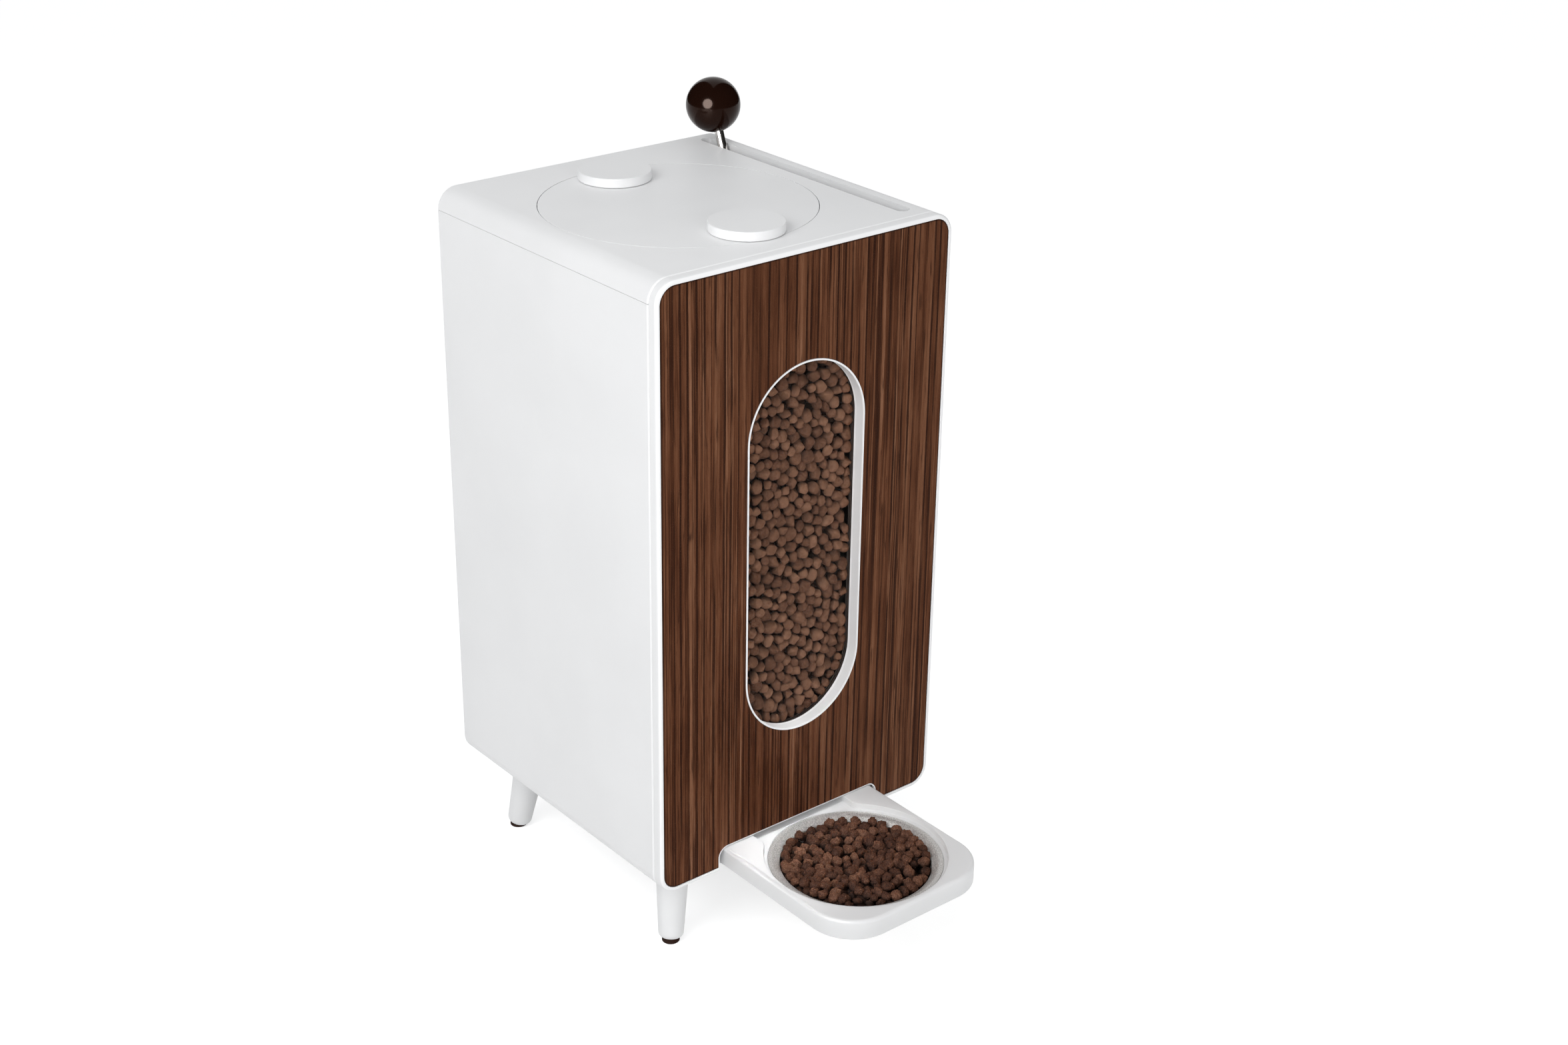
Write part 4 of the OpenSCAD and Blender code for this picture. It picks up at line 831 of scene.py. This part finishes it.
def studio_camera():
    """The camera at the photograph's viewing angle."""
    camera = link("camera", bpy.data.cameras.new("camera"))
    camera.data.sensor_width = CAMERA_SENSOR
    camera.data.lens = CAMERA_LENS
    camera.data.clip_end = CAMERA_REACH
    camera.location = CAMERA_AT
    camera.rotation_mode = "QUATERNION"
    turn = (CAMERA_AIM - CAMERA_AT).to_track_quat("-Z", "Y")
    camera.rotation_quaternion = turn @ Quaternion((0, 0, 1), CAMERA_ROLL)
    bpy.context.scene.camera = camera


def direction(azimuth, elevation):
    """A way out from the object: azimuth 0 is straight in front, -90 on the left."""
    a, e = math.radians(azimuth), math.radians(elevation)
    return Vector((math.sin(a) * math.cos(e), -math.cos(a) * math.cos(e), math.sin(e)))


def softbox(name, aim, azimuth, elevation, distance, size, watts, spread=180):
    """A round softbox that faces a point."""
    away = direction(azimuth, elevation)
    lamp = bpy.data.lights.new(name, "AREA")
    lamp.shape = "DISK"
    lamp.size = size
    lamp.energy = watts
    lamp.spread = math.radians(spread)
    lit = link(name, lamp)
    lit.location = aim + distance * away
    lit.rotation_euler = away.to_track_quat("Z", "Y").to_euler()
    return lit


def seen_rays(f):
    """1 on rays that see the background straight, in a mirror or through glass."""
    kinds = ("Is Camera Ray", "Is Glossy Ray", "Is Transmission Ray")
    straight, mirrored, through = (f.node("ShaderNodeLightPath", out=kind) for kind in kinds)
    return (straight + mirrored + through).rise(0.0, 1.0)


def studio_world():
    """Even light from all round, which looks white where it is seen."""
    world = bpy.data.worlds.new("studio")
    bpy.context.scene.world = world
    f = Finish(world)
    light = f.node("ShaderNodeBackground", {}, {"Color": AMBIENT_TINT, "Strength": AMBIENT})
    white = f.node("ShaderNodeBackground", {}, {"Color": PURE_WHITE, "Strength": 1.0})
    both = f.node("ShaderNodeMixShader", {}, {0: seen_rays(f), 1: light, 2: white})
    f.surface(both, "ShaderNodeOutputWorld")


def stage_sheet(name, points, faces, finish):
    """A sheet of the studio, which isn't part of the object."""
    mesh = bpy.data.meshes.new(name)
    mesh.from_pydata(points, [], faces)
    mesh.materials.append(finish)
    sheet = link(name, mesh)
    return sheet


def studio_floor():
    """Plain pale floor that keeps the object's shadow."""
    f = blank("floor_white")
    paper = f.cloud(f.place(), 30.0)
    tone = f.blend((0.8, 0.8, 0.8), (0.82, 0.82, 0.82), paper)
    sheet = f.node("ShaderNodeBsdfDiffuse", {}, {"Color": tone})
    glow = f.node("ShaderNodeEmission", {}, {"Color": PURE_WHITE, "Strength": FLOOR_GLOW})
    lit = f.node("ShaderNodeAddShader", {}, {0: sheet, 1: glow})
    finish = f.surface(f.node("ShaderNodeMixShader", {}, {0: seen_rays(f), 1: sheet, 2: lit}))
    corners = [(FLOOR_HALF * x, FLOOR_HALF * y, 0) for x, y in ((-1, -1), (1, -1), (1, 1), (-1, 1))]
    stage_sheet("floor", corners, [(0, 1, 2, 3)], finish)


def dark_room():
    """Dark cloth behind the camera that only mirrors see, as round a studio set."""
    f = blank("dark_cloth")
    weave = f.blend((0.012, 0.01, 0.01), (0.02, 0.018, 0.017), f.cloud(f.place(), 40.0))
    finish = f.surface(f.node("ShaderNodeBsdfDiffuse", {}, {"Color": weave}))
    points, faces = [], []
    for j in range(CLOTH_ROWS + 1):
        elevation = CLOTH_LOW + (90 - CLOTH_LOW) * j / CLOTH_ROWS
        for i in range(CLOTH_COLUMNS + 1):
            azimuth = CLOTH_MIDDLE - CLOTH_HALF + 2 * CLOTH_HALF * i / CLOTH_COLUMNS
            points.append(CLOTH_RADIUS * direction(azimuth, elevation))
    for j in range(CLOTH_ROWS):
        for i in range(CLOTH_COLUMNS):
            k = j * (CLOTH_COLUMNS + 1) + i
            faces.append((k, k + 1, k + CLOTH_COLUMNS + 2, k + CLOTH_COLUMNS + 1))
    cloth = stage_sheet("dark_cloth", points, faces, finish)
    for ray in ("camera", "diffuse", "transmission", "shadow", "volume_scatter"):
        setattr(cloth, "visible_" + ray, False)


studio_camera()
studio_world()
studio_floor()
dark_room()
side = softbox("side", CABINET_MIDDLE, azimuth=-75, elevation=38, distance=1.9, size=1.2, watts=14.2)
front = softbox("front", CABINET_MIDDLE, azimuth=-16, elevation=14, distance=1.9, size=1.2, watts=9.2)
tray = softbox("tray", TRAY_BACK, azimuth=-20, elevation=80, distance=1.5, size=0.14, watts=0.046, spread=6)
glint = softbox("glint", CABINET_MIDDLE, azimuth=-66, elevation=26, distance=1.7, size=1.28, watts=84.0)
for lamp in (side, front, tray):
    lamp.visible_glossy = False
glint.visible_diffuse = False

bpy.context.scene.view_settings.view_transform = "Standard"
